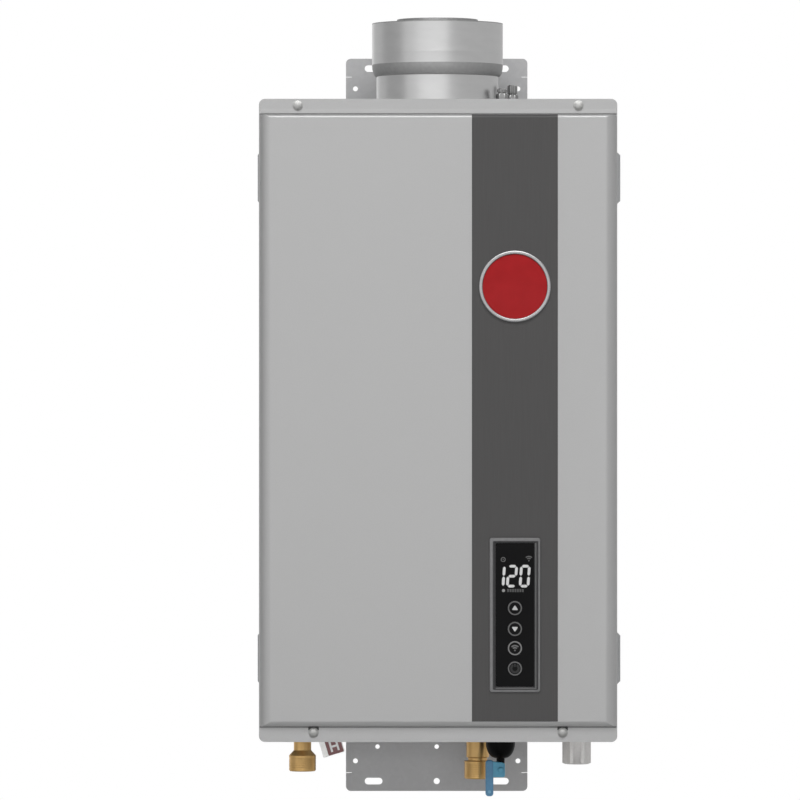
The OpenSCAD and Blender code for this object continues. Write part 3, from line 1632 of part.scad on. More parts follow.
module hot_pipe() {
  bore = pipe_r - tube_wall;
  riser_x = -hx_w / 2 - hot_beside;
  bend_z = floor_top + hot_bend_z;
  mid_z = (tube_z + bend_z) / 2;
  upper_z = mid_z + sleeve_gap / 2;
  lower_z = mid_z - sleeve_gap / 2;
  side = hot_x - riser_x;
  fore = fit_y - tube_last_y;
  run = norm([side, fore]);
  color("peru") {
    bent_pipe(
      [[-tube_end_x, tube_last_y, tube_z], [riser_x, tube_last_y, tube_z], [riser_x, tube_last_y, upper_z]],
      pipe_r, bore, pipe_bend
    );
    translate([riser_x, tube_last_y, mid_z - sleeve_l / 2])
      linear_extrude(sleeve_l) ring(pipe_r + sleeve_t, pipe_r - tube_wall / 2);
    translate([riser_x, tube_last_y, 0])
      rotate([0, 0, atan2(fore, side)])
        bent_pipe(
          [[0, 0, lower_z], [0, 0, bend_z], [run, 0, bend_z], [run, 0, spigot_z]],
          pipe_r, bore, pipe_bend
        );
  }
}

// The controller box stands on the left wall, open to the front
ctrl_x0 = -case_in;
ctrl_x1 = ctrl_x0 + ctrl_w;
ctrl_y0 = y_frame + ctrl_set;
ctrl_y1 = ctrl_y0 + ctrl_d;
ctrl_z0 = floor_top + ctrl_lift;
ctrl_z1 = ctrl_z0 + ctrl_h;
ctrl_board_y = ctrl_y1 - ctrl_wall - board_stand;

module controller_box() {
  w = ctrl_wall;
  color("dimgray")
    difference() {
      block(ctrl_x0, ctrl_x1, ctrl_y0, ctrl_y1, ctrl_z0, ctrl_z1);
      difference() {
        block(ctrl_x0 + w, ctrl_x1 - w, ctrl_y0 - cut, ctrl_y1 - w, ctrl_z0 + w, ctrl_z1 - w);
        for (x = [ctrl_x0 + post_inset, ctrl_x1 - post_inset])
          for (z = [ctrl_z0 + post_inset, ctrl_z1 - post_inset])
            rod_y(x, ctrl_board_y, ctrl_y1, z, post_r);
      }
    }
}

module controller_board() {
  w = ctrl_wall + panel_gap;
  y = ctrl_board_y - board_t;
  color("darkgreen") {
    block(ctrl_x0 + w, ctrl_x1 - w, y, ctrl_board_y, ctrl_z0 + w, ctrl_z1 - w);
    for (i = [1 : 3])
      translate([ctrl_x0 + i * chip_step_x, y - chip_d, ctrl_z0 + i * chip_step_z])
        cube([chip_w, chip_d, chip_h]);
    rod_y(ctrl_x1 - chip_step_x, y - chip_d, y, ctrl_z0 + chip_step_x, capacitor_r);
  }
}

module ignition_module() {
  z0 = hx_bot + spark_w;
  y0 = y_frame + ctrl_set;
  color("black")
    block(case_in - spark_w, case_in, y0, y0 + spark_d, z0, z0 + spark_h);
}

case_wrap();
top_plate();
bottom_plate();
mouth_frame();
cover_gasket();
front_cover();
cover_screws();
accent_strip();
badge_rim();
badge_face();
panel_bezel();
panel_glass();
panel_housing();
display_board();
up_button();
down_button();
wireless_button();
power_button();
upper_bracket();
lower_bracket();
fixing_screws();
vent_collar();
flue_pipe();
sampling_ports();
side_pads();
hot_outlet();
hot_tag();
tag_tie();
cold_inlet();
strainer_bowl();
drain_cock();
drain_spindle();
drain_lever();
lever_screw();
gas_inlet();
power_gland();
hx_shell();
hx_fins();
hx_tube();
hx_straps();
flue_hood();
overheat_switch();
burner_box();
burner_bars();
gas_manifold();
electrodes();
fan_housing();
fan_impeller();
fan_motor();
gas_valve();
gas_plunger();
gas_pipe();
flow_sensor();
flow_turbine();
flow_valve();
cold_pipe();
hot_pipe();
controller_box();
controller_board();
ignition_module();
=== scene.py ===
"""Finish and fine detail of a wall-hung tankless gas water heater, built round its frame, in metres."""

from math import atan2, ceil, cos, pi, radians, sin, tan

import bmesh
import bpy
from mathutils import Matrix, Vector

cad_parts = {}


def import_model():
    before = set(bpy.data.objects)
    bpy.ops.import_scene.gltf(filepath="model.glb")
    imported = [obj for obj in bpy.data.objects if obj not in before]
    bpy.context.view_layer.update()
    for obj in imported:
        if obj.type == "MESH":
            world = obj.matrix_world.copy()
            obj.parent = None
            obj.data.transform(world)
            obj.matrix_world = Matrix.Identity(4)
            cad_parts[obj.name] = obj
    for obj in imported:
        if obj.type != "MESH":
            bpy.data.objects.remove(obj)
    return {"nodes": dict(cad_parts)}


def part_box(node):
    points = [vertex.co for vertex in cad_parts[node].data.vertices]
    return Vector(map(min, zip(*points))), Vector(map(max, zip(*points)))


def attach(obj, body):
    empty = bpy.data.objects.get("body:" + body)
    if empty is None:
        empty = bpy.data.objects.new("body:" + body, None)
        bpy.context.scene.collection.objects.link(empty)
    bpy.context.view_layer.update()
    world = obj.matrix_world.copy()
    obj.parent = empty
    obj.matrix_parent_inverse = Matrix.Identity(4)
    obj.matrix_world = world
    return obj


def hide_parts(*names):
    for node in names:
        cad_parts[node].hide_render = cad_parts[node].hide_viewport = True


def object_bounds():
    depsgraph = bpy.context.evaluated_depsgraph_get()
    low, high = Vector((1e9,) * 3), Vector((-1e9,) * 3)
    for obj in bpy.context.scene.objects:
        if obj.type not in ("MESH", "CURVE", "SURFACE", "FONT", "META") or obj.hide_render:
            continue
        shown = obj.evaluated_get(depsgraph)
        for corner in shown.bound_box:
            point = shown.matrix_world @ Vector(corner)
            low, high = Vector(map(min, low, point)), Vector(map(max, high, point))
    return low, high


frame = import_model()
cad_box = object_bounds()
scene = bpy.context.scene

MM = 0.001
TURN = 2 * pi
# Steps of a full turn on large and on small round pieces
ROUND = 128
SMALL_ROUND = 64
# Edges that bend more than this stay sharp
SHARP = radians(32)
# Thickness of printed marks
PRINT_T = 0.06 * MM

# Materials

def srgb(red, green, blue):
    """A colour in screen values from 0 to 255, as the linear colour that a shader takes."""
    shares = [value / 255 for value in (red, green, blue)]
    linear = [s / 12.92 if s <= 0.04045 else ((s + 0.055) / 1.055) ** 2.4 for s in shares]
    return (*linear, 1.0)


def fill(node, **values):
    """Sets a node's inputs; an underscore in a key stands for a blank in the input's name."""
    for key, value in values.items():
        node.inputs[key.replace("_", " ")].default_value = value


class Finish:
    """A procedural material: one Principled shader, with textures on its colour, gloss and relief."""

    def __init__(self, name, **constants):
        self.material = bpy.data.materials.new(name)
        self.material.use_nodes = True
        self.tree = self.material.node_tree
        self.shader = self.tree.nodes["Principled BSDF"]
        fill(self.shader, **constants)

    def node(self, kind, **settings):
        made = self.tree.nodes.new(kind)
        for key, value in settings.items():
            setattr(made, key, value)
        return made

    def link(self, output, socket):
        self.tree.links.new(output, socket)

    def place(self, stretch=(1, 1, 1)):
        """Object coordinates in metres, stretched along each axis."""
        coordinates = self.node("ShaderNodeTexCoord")
        mapping = self.node("ShaderNodeMapping")
        fill(mapping, Scale=stretch)
        self.link(coordinates.outputs["Object"], mapping.inputs["Vector"])
        return mapping.outputs["Vector"]

    def noise(self, scale, detail=3.0, stretch=(1, 1, 1)):
        texture = self.node("ShaderNodeTexNoise")
        fill(texture, Scale=scale, Detail=detail)
        self.link(self.place(stretch), texture.inputs["Vector"])
        return texture.outputs["Fac"]

    def cells(self, scale):
        """A random grey for each crystal-like cell."""
        texture = self.node("ShaderNodeTexVoronoi")
        fill(texture, Scale=scale)
        self.link(self.place(), texture.inputs["Vector"])
        grey = self.node("ShaderNodeRGBToBW")
        self.link(texture.outputs["Color"], grey.inputs["Color"])
        return grey.outputs["Val"]

    def spread(self, factor, low, high, start=0.3, end=0.7):
        """Maps a texture's middle values to a range."""
        ranged = self.node("ShaderNodeMapRange")
        fill(ranged, From_Min=start, From_Max=end, To_Min=low, To_Max=high)
        self.link(factor, ranged.inputs["Value"])
        return ranged.outputs["Result"]

    def colour(self, factor, first, second):
        ramp = self.node("ShaderNodeValToRGB")
        ramp.color_ramp.elements[0].position = 0.3
        ramp.color_ramp.elements[1].position = 0.7
        ramp.color_ramp.elements[0].color = srgb(*first)
        ramp.color_ramp.elements[1].color = srgb(*second)
        self.link(factor, ramp.inputs["Fac"])
        self.link(ramp.outputs["Color"], self.shader.inputs["Base Color"])
        return ramp.outputs["Color"]

    def gloss(self, factor, low, high):
        self.link(self.spread(factor, low, high), self.shader.inputs["Roughness"])

    def relief(self, factor, depth, strength=0.5):
        bump = self.node("ShaderNodeBump")
        fill(bump, Strength=strength, Distance=depth)
        self.link(factor, bump.inputs["Height"])
        self.link(bump.outputs["Normal"], self.shader.inputs["Normal"])


def sprayed_paint(name, dark, light, roughness):
    """Sprayed silver paint on sheet steel: a fine orange peel and faint flakes."""
    finish = Finish(name, Metallic=0.35, Specular_IOR_Level=0.35)
    finish.colour(finish.noise(900, 2.0), dark, light)
    finish.gloss(finish.noise(40), roughness - 0.02, roughness + 0.02)
    finish.relief(finish.noise(700, 2.0), 0.03 * MM, 0.06)
    return finish.material


def cover_paint():
    return sprayed_paint("cover_paint", (182, 182, 182), (185, 185, 185), 0.31)


def case_paint():
    return sprayed_paint("case_paint", (175, 176, 177), (179, 180, 181), 0.36)


def strip_film():
    """Dark satin film with a fine upright grain."""
    finish = Finish("strip_film", Specular_IOR_Level=0.25)
    grain = finish.noise(1400, 3.0, (1, 1, 0.02))
    finish.colour(grain, (79, 78, 78), (82, 81, 81))
    finish.gloss(grain, 0.36, 0.42)
    finish.relief(grain, 0.01 * MM, 0.06)
    return finish.material


def polished_metal(name, dark, light, low, high, scale=600):
    """Plated metal with faint stains and a lightly uneven polish."""
    finish = Finish(name, Metallic=1.0)
    finish.colour(finish.noise(scale / 8), dark, light)
    finish.gloss(finish.noise(scale), low, high)
    finish.relief(finish.noise(scale, 2.0), 0.01 * MM, 0.15)
    return finish.material


def trim_chrome():
    return polished_metal("trim_chrome", (172, 172, 173), (184, 184, 185), 0.18, 0.26)


def screw_steel():
    return polished_metal("screw_steel", (180, 180, 179), (190, 190, 188), 0.44, 0.54, 900)


def port_nickel():
    return polished_metal("port_nickel", (128, 128, 128), (156, 156, 156), 0.1, 0.2, 900)


def brass_body():
    return polished_metal("brass_body", (222, 180, 116), (232, 192, 130), 0.29, 0.39, 500)


def copper_tube():
    return polished_metal("copper_tube", (184, 112, 78), (206, 136, 100), 0.29, 0.42, 300)


def inner_steel():
    return polished_metal("inner_steel", (158, 158, 156), (184, 184, 182), 0.36, 0.52, 300)


def gas_alloy():
    """Cast alloy, grainy and dull."""
    finish = Finish("gas_alloy", Metallic=0.6)
    finish.colour(finish.noise(400), (222, 220, 218), (230, 228, 226))
    finish.gloss(finish.noise(200), 0.3, 0.4)
    finish.relief(finish.noise(1500), 0.02 * MM, 0.12)
    return finish.material


def vent_steel():
    """Rolled sheet metal with a satin polish."""
    finish = Finish("vent_steel", Metallic=1.0)
    grain = finish.noise(60, 3.0, (1, 1, 3))
    finish.colour(grain, (205, 205, 205), (209, 209, 209))
    finish.gloss(grain, 0.29, 0.32)
    return finish.material


def vent_edge():
    """Dull metal for the vent's rims, darker in tone as painted shade along their top edges."""
    finish = Finish("vent_edge", Metallic=1.0)
    finish.colour(finish.noise(400), (158, 158, 158), (170, 170, 170))
    finish.gloss(finish.noise(900), 0.4, 0.55)
    return finish.material


def vent_taper():
    """Dull sheet metal in a darker tone: painted shade on the taper under the collar's cup."""
    finish = Finish("vent_taper", Metallic=0.6)
    finish.colour(finish.noise(300), (158, 158, 158), (166, 166, 166))
    finish.gloss(finish.noise(600), 0.5, 0.58)
    return finish.material


def bracket_zinc():
    """Galvanised sheet, with the faint crystal pattern of its zinc."""
    finish = Finish("bracket_zinc", Metallic=0.25)
    crystals = finish.cells(240)
    finish.colour(crystals, (181, 181, 182), (185, 185, 186))
    finish.gloss(crystals, 0.42, 0.5)
    finish.relief(finish.noise(500), 0.02 * MM, 0.1)
    return finish.material


def badge_enamel():
    """Clear-coated red enamel."""
    finish = Finish("badge_enamel", Coat_Weight=0.15, Coat_Roughness=0.1, Specular_IOR_Level=0.1)
    finish.colour(finish.noise(60), (166, 25, 29), (176, 28, 33))
    finish.gloss(finish.noise(300), 0.3, 0.4)
    return finish.material


def moulded_plastic(name, dark, light, low, high, grain=1800, shine=0.4):
    """Moulded plastic with a fine spark-eroded grain."""
    finish = Finish(name, Specular_IOR_Level=shine)
    finish.colour(finish.noise(grain / 6), dark, light)
    finish.gloss(finish.noise(grain / 3), low, high)
    finish.relief(finish.noise(grain, 2.0), 0.02 * MM, 0.25)
    return finish.material


def bezel_plastic():
    return moulded_plastic("bezel_plastic", (60, 60, 61), (66, 66, 67), 0.29, 0.36, shine=0.2)


# Light grey plastic for the bezel's edge, laid broader on the left and top as painted light from the upper
# left.
def bezel_lit_edge():
    return moulded_plastic("bezel_lit_edge", (120, 120, 121), (128, 128, 129), 0.29, 0.36, shine=0.5)


def button_plastic():
    return moulded_plastic("button_plastic", (14, 14, 15), (18, 18, 19), 0.29, 0.36, shine=0.08)


def black_nylon():
    return moulded_plastic("black_nylon", (7, 7, 7), (10, 10, 10), 0.34, 0.48, shine=0.1)


def blue_nylon():
    return moulded_plastic("blue_nylon", (92, 143, 180), (100, 152, 188), 0.3, 0.42)


def teal_nylon():
    return moulded_plastic("teal_nylon", (94, 166, 198), (101, 174, 204), 0.29, 0.4)


# A paler blue for the lever's dimple: a painted highlight.
def pale_nylon():
    return moulded_plastic("pale_nylon", (126, 178, 208), (134, 186, 214), 0.29, 0.4)


def seal_rubber():
    return moulded_plastic("seal_rubber", (24, 24, 25), (34, 34, 35), 0.7, 0.85, 900)


def white_ceramic():
    return moulded_plastic("white_ceramic", (226, 222, 212), (236, 233, 225), 0.29, 0.36, 400)


def tag_card():
    """Translucent white plastic with a faint grain."""
    finish = Finish("tag_card", Specular_IOR_Level=0.3, Transmission_Weight=0.8, IOR=1.2)
    finish.colour(finish.noise(1500, 4.0), (248, 248, 246), (253, 253, 252))
    finish.gloss(finish.noise(600), 0.5, 0.65)
    finish.relief(finish.noise(2500), 0.02 * MM, 0.2)
    return finish.material


def panel_gloss():
    """Black glossy lens with faint smears."""
    finish = Finish("panel_gloss", Specular_IOR_Level=0.08)
    smears = finish.noise(35, 4.0)
    finish.colour(smears, (13, 13, 14), (16, 16, 17))
    finish.gloss(smears, 0.06, 0.16)
    return finish.material


def board_green():
    """Circuit board with a pattern of tracks under its green mask."""
    finish = Finish("board_green", Specular_IOR_Level=0.4)
    tracks = finish.node("ShaderNodeTexBrick")
    fill(tracks, Scale=90, Mortar_Size=0.012, Mortar=srgb(46, 120, 78))
    fill(tracks, Color1=srgb(18, 74, 46), Color2=srgb(22, 84, 54))
    finish.link(finish.place(), tracks.inputs["Vector"])
    finish.link(tracks.outputs["Color"], finish.shader.inputs["Base Color"])
    finish.gloss(finish.noise(300), 0.3, 0.42)
    return finish.material


def printed(name, dark, light, glow=0.0):
    """Printed or back-lit marks with slightly uneven ink."""
    finish = Finish(name, Roughness=0.5, Specular_IOR_Level=0.1, Emission_Strength=glow)
    tone = finish.colour(finish.noise(900), dark, light)
    if glow:
        finish.link(tone, finish.shader.inputs["Emission Color"])
    return finish.material


# The finishes of the slots, then those of the scene's own pieces
MAKERS = (
    case_paint, cover_paint, strip_film, trim_chrome, badge_enamel, bezel_plastic, panel_gloss,
    button_plastic, bracket_zinc, screw_steel, vent_steel, brass_body, black_nylon, blue_nylon, tag_card,
    gas_alloy, copper_tube, inner_steel, board_green, seal_rubber, white_ceramic,
    port_nickel, vent_edge, vent_taper, bezel_lit_edge, teal_nylon, pale_nylon,
)
FINISH = {maker.__name__: maker() for maker in MAKERS}
# Printed and back-lit marks: grey of the ink, and how strongly it glows
INKS = {
    "display_light": (214, 0.12), "display_mid": (164, 0), "display_dim": (104, 0), "display_cell": (92, 0),
    "ring_print": (116, 0), "ring_bright": (142, 0), "glyph_light": (214, 0), "glyph_mid": (124, 0),
    # The seam and slot greys are painted shade in the cover's joints and above its lower screws.
    "glyph_dim": (62, 0), "seam_dark": (84, 0), "seam_top": (124, 0), "seam_low": (146, 0),
    # The bezel line's grey is a painted highlight, and the tag letter's glow is painted light.
    "bezel_line": (112, 0), "tag_white_glow": (226, 0.2),
}
INK_SPREAD = 4
for ink, (grey, glow) in INKS.items():
    dark, light = [[grey + side * INK_SPREAD] * 3 for side in (-1, 1)]
    FINISH[ink] = printed(ink, dark, light, glow)
FINISH["tag_maroon"] = printed("tag_maroon", (150, 112, 112), (158, 120, 120))


# Mesh helpers

def low(node):
    return Vector(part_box(node)[0])


def high(node):
    return Vector(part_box(node)[1])


def middle(node):
    return (low(node) + high(node)) / 2


def span(node):
    """Lowest and highest level of a node."""
    return low(node).z, high(node).z


def half_width(node):
    return (high(node).x - low(node).x) / 2


def standing(x, y, z=0.0):
    """A frame whose local Z points up, or a shift within another frame."""
    return Matrix.Translation((x, y, z))


def axis_of(node):
    """The standing frame through a node's middle."""
    return standing(middle(node).x, middle(node).y)


def facing(x, y, z):
    """A frame that faces the front: local X to the right, local Y up and local Z towards the viewer."""
    turned = Matrix(((1, 0, 0, 0), (0, 0, -1, 0), (0, 1, 0, 0), (0, 0, 0, 1)))
    return Matrix.Translation((x, y, z)) @ turned


def rounded(points, steps=6):
    """A closed outline; a corner with a third number is replaced by an arc of that radius."""
    outline = []
    for i, point in enumerate(points):
        corner = Vector(point[:2])
        if len(point) < 3 or not point[2]:
            outline.append(corner)
            continue
        back = (Vector(points[i - 1][:2]) - corner).normalized()
        ahead = (Vector(points[(i + 1) % len(points)][:2]) - corner).normalized()
        half = back.angle(ahead) / 2
        centre = corner + (back + ahead).normalized() * point[2] / sin(half)
        reach = point[2] / tan(half)
        first = corner + back * reach - centre
        last = corner + ahead * reach - centre
        start = atan2(first.y, first.x)
        sweep = (atan2(last.y, last.x) - start + pi) % TURN - pi
        for k in range(steps + 1):
            angle = start + sweep * k / steps
            outline.append(centre + point[2] * Vector((cos(angle), sin(angle))))
    return outline


def bridge(shape, first, second):
    """Faces between two rings of points; a ring of one point is a tip."""
    count = max(len(first), len(second))
    for i in range(count):
        j = (i + 1) % count
        corners = [ring[k % len(ring)] for ring, k in ((first, i), (first, j), (second, j), (second, i))]
        distinct = list(dict.fromkeys(corners))
        if len(distinct) > 2:
            shape.faces.new(distinct)


def revolve(shape, profile, place, steps=ROUND, bend=None, closed=True):
    """Sweeps radius and height points round local Z; bend may change a radius by angle and height."""
    rings = []
    for radius, height in profile:
        if radius < 1e-7:
            rings.append([shape.verts.new(place @ Vector((0, 0, height)))])
            continue
        ring = []
        for i in range(steps):
            angle = TURN * i / steps
            reach = bend(angle, radius, height) if bend else radius
            point = Vector((reach * cos(angle), reach * sin(angle), height))
            ring.append(shape.verts.new(place @ point))
        rings.append(ring)
    for first, second in zip(rings, rings[1:]):
        bridge(shape, first, second)
    if closed:
        bridge(shape, rings[-1], rings[0])


def hexagon(across_corners, phase=0.0):
    """A bend that flattens a turned profile to a hexagon, with corners cut by the profile's own radius."""
    flat = across_corners * cos(pi / 6)

    def bend(angle, radius, _height):
        part = (angle - phase) % (pi / 3) - pi / 6
        return min(radius, flat / cos(part))

    return bend


def thread(bottom, top, pitch, depth):
    """A bend that cuts a screw thread between two heights, fading out at its ends."""
    def bend(angle, radius, height):
        if not bottom < height < top:
            return radius
        fade = min(1, (height - bottom) / pitch, (top - height) / pitch)
        phase = (height / pitch - angle / TURN) % 1
        return radius - depth * fade * abs(2 * phase - 1)

    return bend


def threaded(radius, bottom, top, step):
    """Profile points close enough together to carry a thread."""
    count = ceil((top - bottom) / step)
    return [(radius, bottom + (top - bottom) * i / count) for i in range(count + 1)]


def loft(shape, rings, place, closed=True):
    """Joins outlines at their levels; each ring is a list of points and a level."""
    made = []
    for points, level in rings:
        made.append([shape.verts.new(place @ Vector((p[0], p[1], level))) for p in points])
    for first, second in zip(made, made[1:]):
        bridge(shape, first, second)
    if closed:
        bridge(shape, made[-1], made[0])
    return made


def slab(shape, outline, place, bottom, top):
    """A plate of one outline between two levels."""
    made = loft(shape, ((outline, bottom), (outline, top)), place, closed=False)
    shape.faces.new(made[1])
    shape.faces.new(made[0][::-1])


def box_outline(width, height, radius, steps=6, centre=(0, 0)):
    """A rectangle with round corners."""
    x, y = width / 2, height / 2
    corners = ((-x, -y, radius), (x, -y, radius), (x, y, radius), (-x, y, radius))
    return [point + Vector(centre) for point in rounded(corners, steps)]


def arc_band(shape, place, radius, width, start, end, bottom, top, steps=SMALL_ROUND):
    """A band of a circle between two angles, or a whole ring."""
    whole = abs(end - start) >= TURN - 1e-6
    count = steps if whole else max(4, round(steps * abs(end - start) / TURN))
    angles = [start + (end - start) * i / count for i in range(count + (0 if whole else 1))]
    sections = []
    for angle in angles:
        out = Vector((cos(angle), sin(angle)))
        corners = ((radius - width / 2, bottom), (radius + width / 2, bottom),
                   (radius + width / 2, top), (radius - width / 2, top))
        sections.append([shape.verts.new(place @ Vector((*(out * r), level))) for r, level in corners])
    for first, second in zip(sections, sections[1:]):
        bridge(shape, first, second)
    if whole:
        bridge(shape, sections[-1], sections[0])
    else:
        shape.faces.new(sections[0])
        shape.faces.new(sections[-1][::-1])


def soften(obj, width, segments=3):
    """Rounds an object's edges with a modifier."""
    bevel = obj.modifiers.new("soft_edges", "BEVEL")
    bevel.width = width
    bevel.segments = segments
    bevel.limit_method = "ANGLE"
    bevel.angle_limit = SHARP
    bevel.harden_normals = True


def piece(name, shape, finish, body, slot, stands_for=(), soft=0.0):
    """Makes an object of the scene from a shape, parents it to the body it rides on, and hides the nodes it
    stands for.
    """
    bmesh.ops.recalc_face_normals(shape, faces=shape.faces)
    for face in shape.faces:
        face.smooth = True
    for edge in shape.edges:
        edge.smooth = soft > 0 or edge.calc_face_angle(0) < SHARP
    mesh = bpy.data.meshes.new(name)
    shape.to_mesh(mesh)
    shape.free()
    mesh.materials.append(FINISH[finish])
    obj = bpy.data.objects.new(name, mesh)
    scene.collection.objects.link(obj)
    if soft:
        soften(obj, soft)
    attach(obj, body)
    if stands_for:
        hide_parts(*stands_for)


def turned(name, looks, profile, place, steps=ROUND, bend=None, closed=True):
    """A turned piece; looks are its finish, body, slot (not used) and, if any, the nodes it stands for and
    softness.
    """
    shape = bmesh.new()
    revolve(shape, profile, place, steps, bend, closed)
    piece(name, shape, *looks)


def plate(name, looks, outline, place, bottom, top):
    """A flat piece of one outline."""
    shape = bmesh.new()
    slab(shape, outline, place, bottom, top)
    piece(name, shape, *looks)


def strip(name, looks, ends):
    """A piece drawn out between two like outlines in space."""
    shape = bmesh.new()
    made = [[shape.verts.new(point) for point in ring] for ring in ends]
    bridge(shape, made[0], made[1])
    shape.faces.new(made[0])
    shape.faces.new(made[1][::-1])
    piece(name, shape, *looks)


# Vent

def vent_collar():
    """Outer collar: a flange, a neck, a curled taper and a cup with a faint bead; its taper and rim are
    darker metal as painted shade.
    """
    foot, top = span("vent_collar")
    flange_r = half_width("vent_collar")
    collar_r = 65 * MM
    neck_r, wall = 60.6 * MM, 1.5 * MM
    lip, shoulder, bead = top - 53 * MM, top - 41 * MM, top - 30.25 * MM
    bead_w, bead_t, flange_t, edge_h = 2.4 * MM, 0.05 * MM, 2 * MM, 0.9 * MM
    steps = 8
    beads = [(collar_r + bead_t * sin(pi * k / steps), bead + bead_w * (k / steps - 0.5))
             for k in range(steps + 1)]
    quarter = [pi / 2 * (1 - k / steps) for k in range(steps + 1)]
    curl = [(neck_r + (collar_r - neck_r) * cos(a), shoulder - (shoulder - lip) * sin(a))
            for a in quarter]
    outline = [
        (neck_r - wall, foot), (flange_r, foot, 0.4 * MM), (flange_r, foot + flange_t, 0.6 * MM),
        (neck_r, foot + flange_t, 1.5 * MM), (neck_r, shoulder), (collar_r, shoulder), *beads,
        (collar_r, top - edge_h),
        (collar_r - wall, top - edge_h), (collar_r - wall, shoulder, 2 * MM), (neck_r - wall, lip, 1 * MM),
    ]
    place = axis_of("vent_collar")
    turned("collar_shell", ("vent_steel", "root", "vent_steel", ["vent_collar"]),
           rounded(outline), place, 2 * ROUND)
    # The rim band's darker metal is painted shade along the collar's top edge.
    outline = [(collar_r - wall, top - edge_h), (collar_r, top - edge_h), (collar_r, top, 0.1 * MM),
               (collar_r - wall, top, 0.1 * MM)]
    turned("collar_edge", ("vent_edge", "root", "vent_steel", ["vent_collar"]),
           rounded(outline), place, 2 * ROUND)
    # The taper's darker tone is painted shade under the cup.
    outline = [(neck_r - 0.1 * MM, lip), *curl, (neck_r - 0.1 * MM, shoulder)]
    turned("collar_taper", ("vent_taper", "root", "vent_steel", ["vent_collar"]), outline, place, 2 * ROUND)


def flue_pipe():
    """Inner exhaust pipe with a rim in darker metal as painted shade."""
    foot, top = span("flue_pipe")
    radius = (high("flue_pipe").y - low("flue_pipe").y) / 2
    wall, edge_h = 1.5 * MM, 2.5 * MM
    place = axis_of("flue_pipe")
    rim = top - edge_h
    outline = [(radius - wall, foot), (radius, foot), (radius, rim), (radius - wall, rim)]
    turned("flue_tube", ("vent_steel", "root", "vent_steel", ["flue_pipe"]), outline, place)
    # The rim band's darker metal is painted shade along the pipe's top edge.
    outline = [(radius - wall, rim), (radius, rim), (radius, top, 0.1 * MM), (radius - wall, top, 0.1 * MM)]
    turned("flue_edge", ("vent_edge", "root", "vent_steel", ["flue_pipe"]), rounded(outline), place)


def sampling_ports():
    """Two capped test ports on the collar's flange: a hexagon foot, a groove and a domed plug."""
    foot, top = span("sampling_ports")
    centre = middle("vent_collar")
    hex_r, hex_h, plug_r, groove_r = 5.8 * MM, 8.4 * MM, 5 * MM, 3.8 * MM
    step = foot + hex_h
    flutes, flute_d = 12, 0.35 * MM
    angle = radians(27)
    reach, far, drop = 71.4 * MM, 74.5 * MM, 4.9 * MM
    spots = ((centre.x + far, centre.y, top), (centre.x + reach * cos(angle),
             centre.y - reach * sin(angle), top - drop))
    flat = hexagon(hex_r)

    def bend(turn, radius, height):
        if height < step:
            return flat(turn, radius, height)
        return radius - flute_d * (0.5 - 0.5 * cos(flutes * turn)) if radius == plug_r else radius

    for k, (x, y, crown) in enumerate(spots):
        outline = [
            (0, foot), (hex_r * 0.95, foot), (hex_r, foot + 0.6 * MM), (hex_r, step - 0.8 * MM),
            (hex_r * 0.88, step - 0.05 * MM), (groove_r, step), (groove_r, step + 1 * MM),
            (plug_r, step + 1.4 * MM), (plug_r, crown - 1 * MM), (plug_r * 0.8, crown), (0, crown),
        ]
        turned(f"sampling_port_{k + 1}", ("port_nickel", "root", "screw_steel", ["sampling_ports"]),
               outline, standing(x, y), 96, bend, closed=False)


# Front cover

# Depth of the screw bands behind the cover's front, and how far the lower screws sit from its middle
BAND_D = 8 * MM
LOWER_SCREW_X = 121.6 * MM


def cover_seams():
    """Lip, and dark plates in the joints where the raised panel meets its two screw bands: joint lines toned
    as painted shade.
    """
    band = low("front_cover").y + BAND_D
    bottom, top = span("front_cover")
    step = 15.5 * MM
    half = high("front_cover").x - 0.8 * MM
    gap, shade_t = 1.1 * MM, 0.1 * MM
    lip_w, lip_t = 4.6 * MM, 0.3 * MM
    edge = top - step + gap
    outline = [(0, 0), (lip_t, lip_w * 0.04, 0.12 * MM), (lip_t * 0.9, lip_w * 0.3), (0, lip_w)]
    ends = []
    for x in (-half + 1 * MM, half - 1 * MM):
        ends.append([(x, band - y, edge + z) for y, z in rounded(outline)])
    strip("upper_lip", ("cover_paint", "cover", "cover_paint"), ends)
    # The plates' greys are painted shade in the joints under the lip and at the panel's lower edge.
    low_shade_h = 1.7 * MM
    shade_strips = (("upper_gap_shade", top - step + gap / 2, gap, "seam_top"),
            ("lower_gap_shade", bottom + step - low_shade_h / 2, low_shade_h, "seam_low"))
    for name, z, height, finish in shade_strips:
        plate(name, (finish, "cover", "cover_paint"),
              box_outline(2 * half, height, 0.1 * MM, 2, (0, z)), facing(0, band, 0), 0, shade_t)


def strip_end():
    """Upper end of the strip's film, drawn over the cover's rounded edge."""
    left, right = low("accent_strip").x, high("accent_strip").x
    front, foot = low("accent_strip").y, high("accent_strip").z
    bend_r, film, steps = 3 * MM, 0.5 * MM, 8
    ends = []
    for x in (left, right):
        outer, inner = [], []
        for k in range(steps + 1):
            angle = pi / 2 * 0.85 * k / steps
            rise, depth = sin(angle), 1 - cos(angle)
            outer.append((x, front + (bend_r + film) * depth, foot + (bend_r + film * 0.1) * rise))
            inner.append((x, front + film * 1.2 + bend_r * depth, foot + (bend_r - film) * rise))
        ends.append(outer + inner[::-1])
    strip("strip_end", ("strip_film", "cover", "strip_film"), ends)


def screw_slots():
    """Dark plates on the band above the two lower cover screws: painted shade."""
    band = low("front_cover").y + BAND_D
    width, height, corner = 10.4 * MM, 4.6 * MM, 1.6 * MM
    z, depth = low("front_cover").z + 13.3 * MM, 0.15 * MM
    for k, side in enumerate((-1, 1)):
        # Each plate's dark grey is painted shade.
        plate(f"screw_slot_shade_{k + 1}", ("seam_dark", "cover", "cover_paint"),
              box_outline(width, height, corner, 6, (side * LOWER_SCREW_X, z)), facing(0, band, 0), 0, depth)


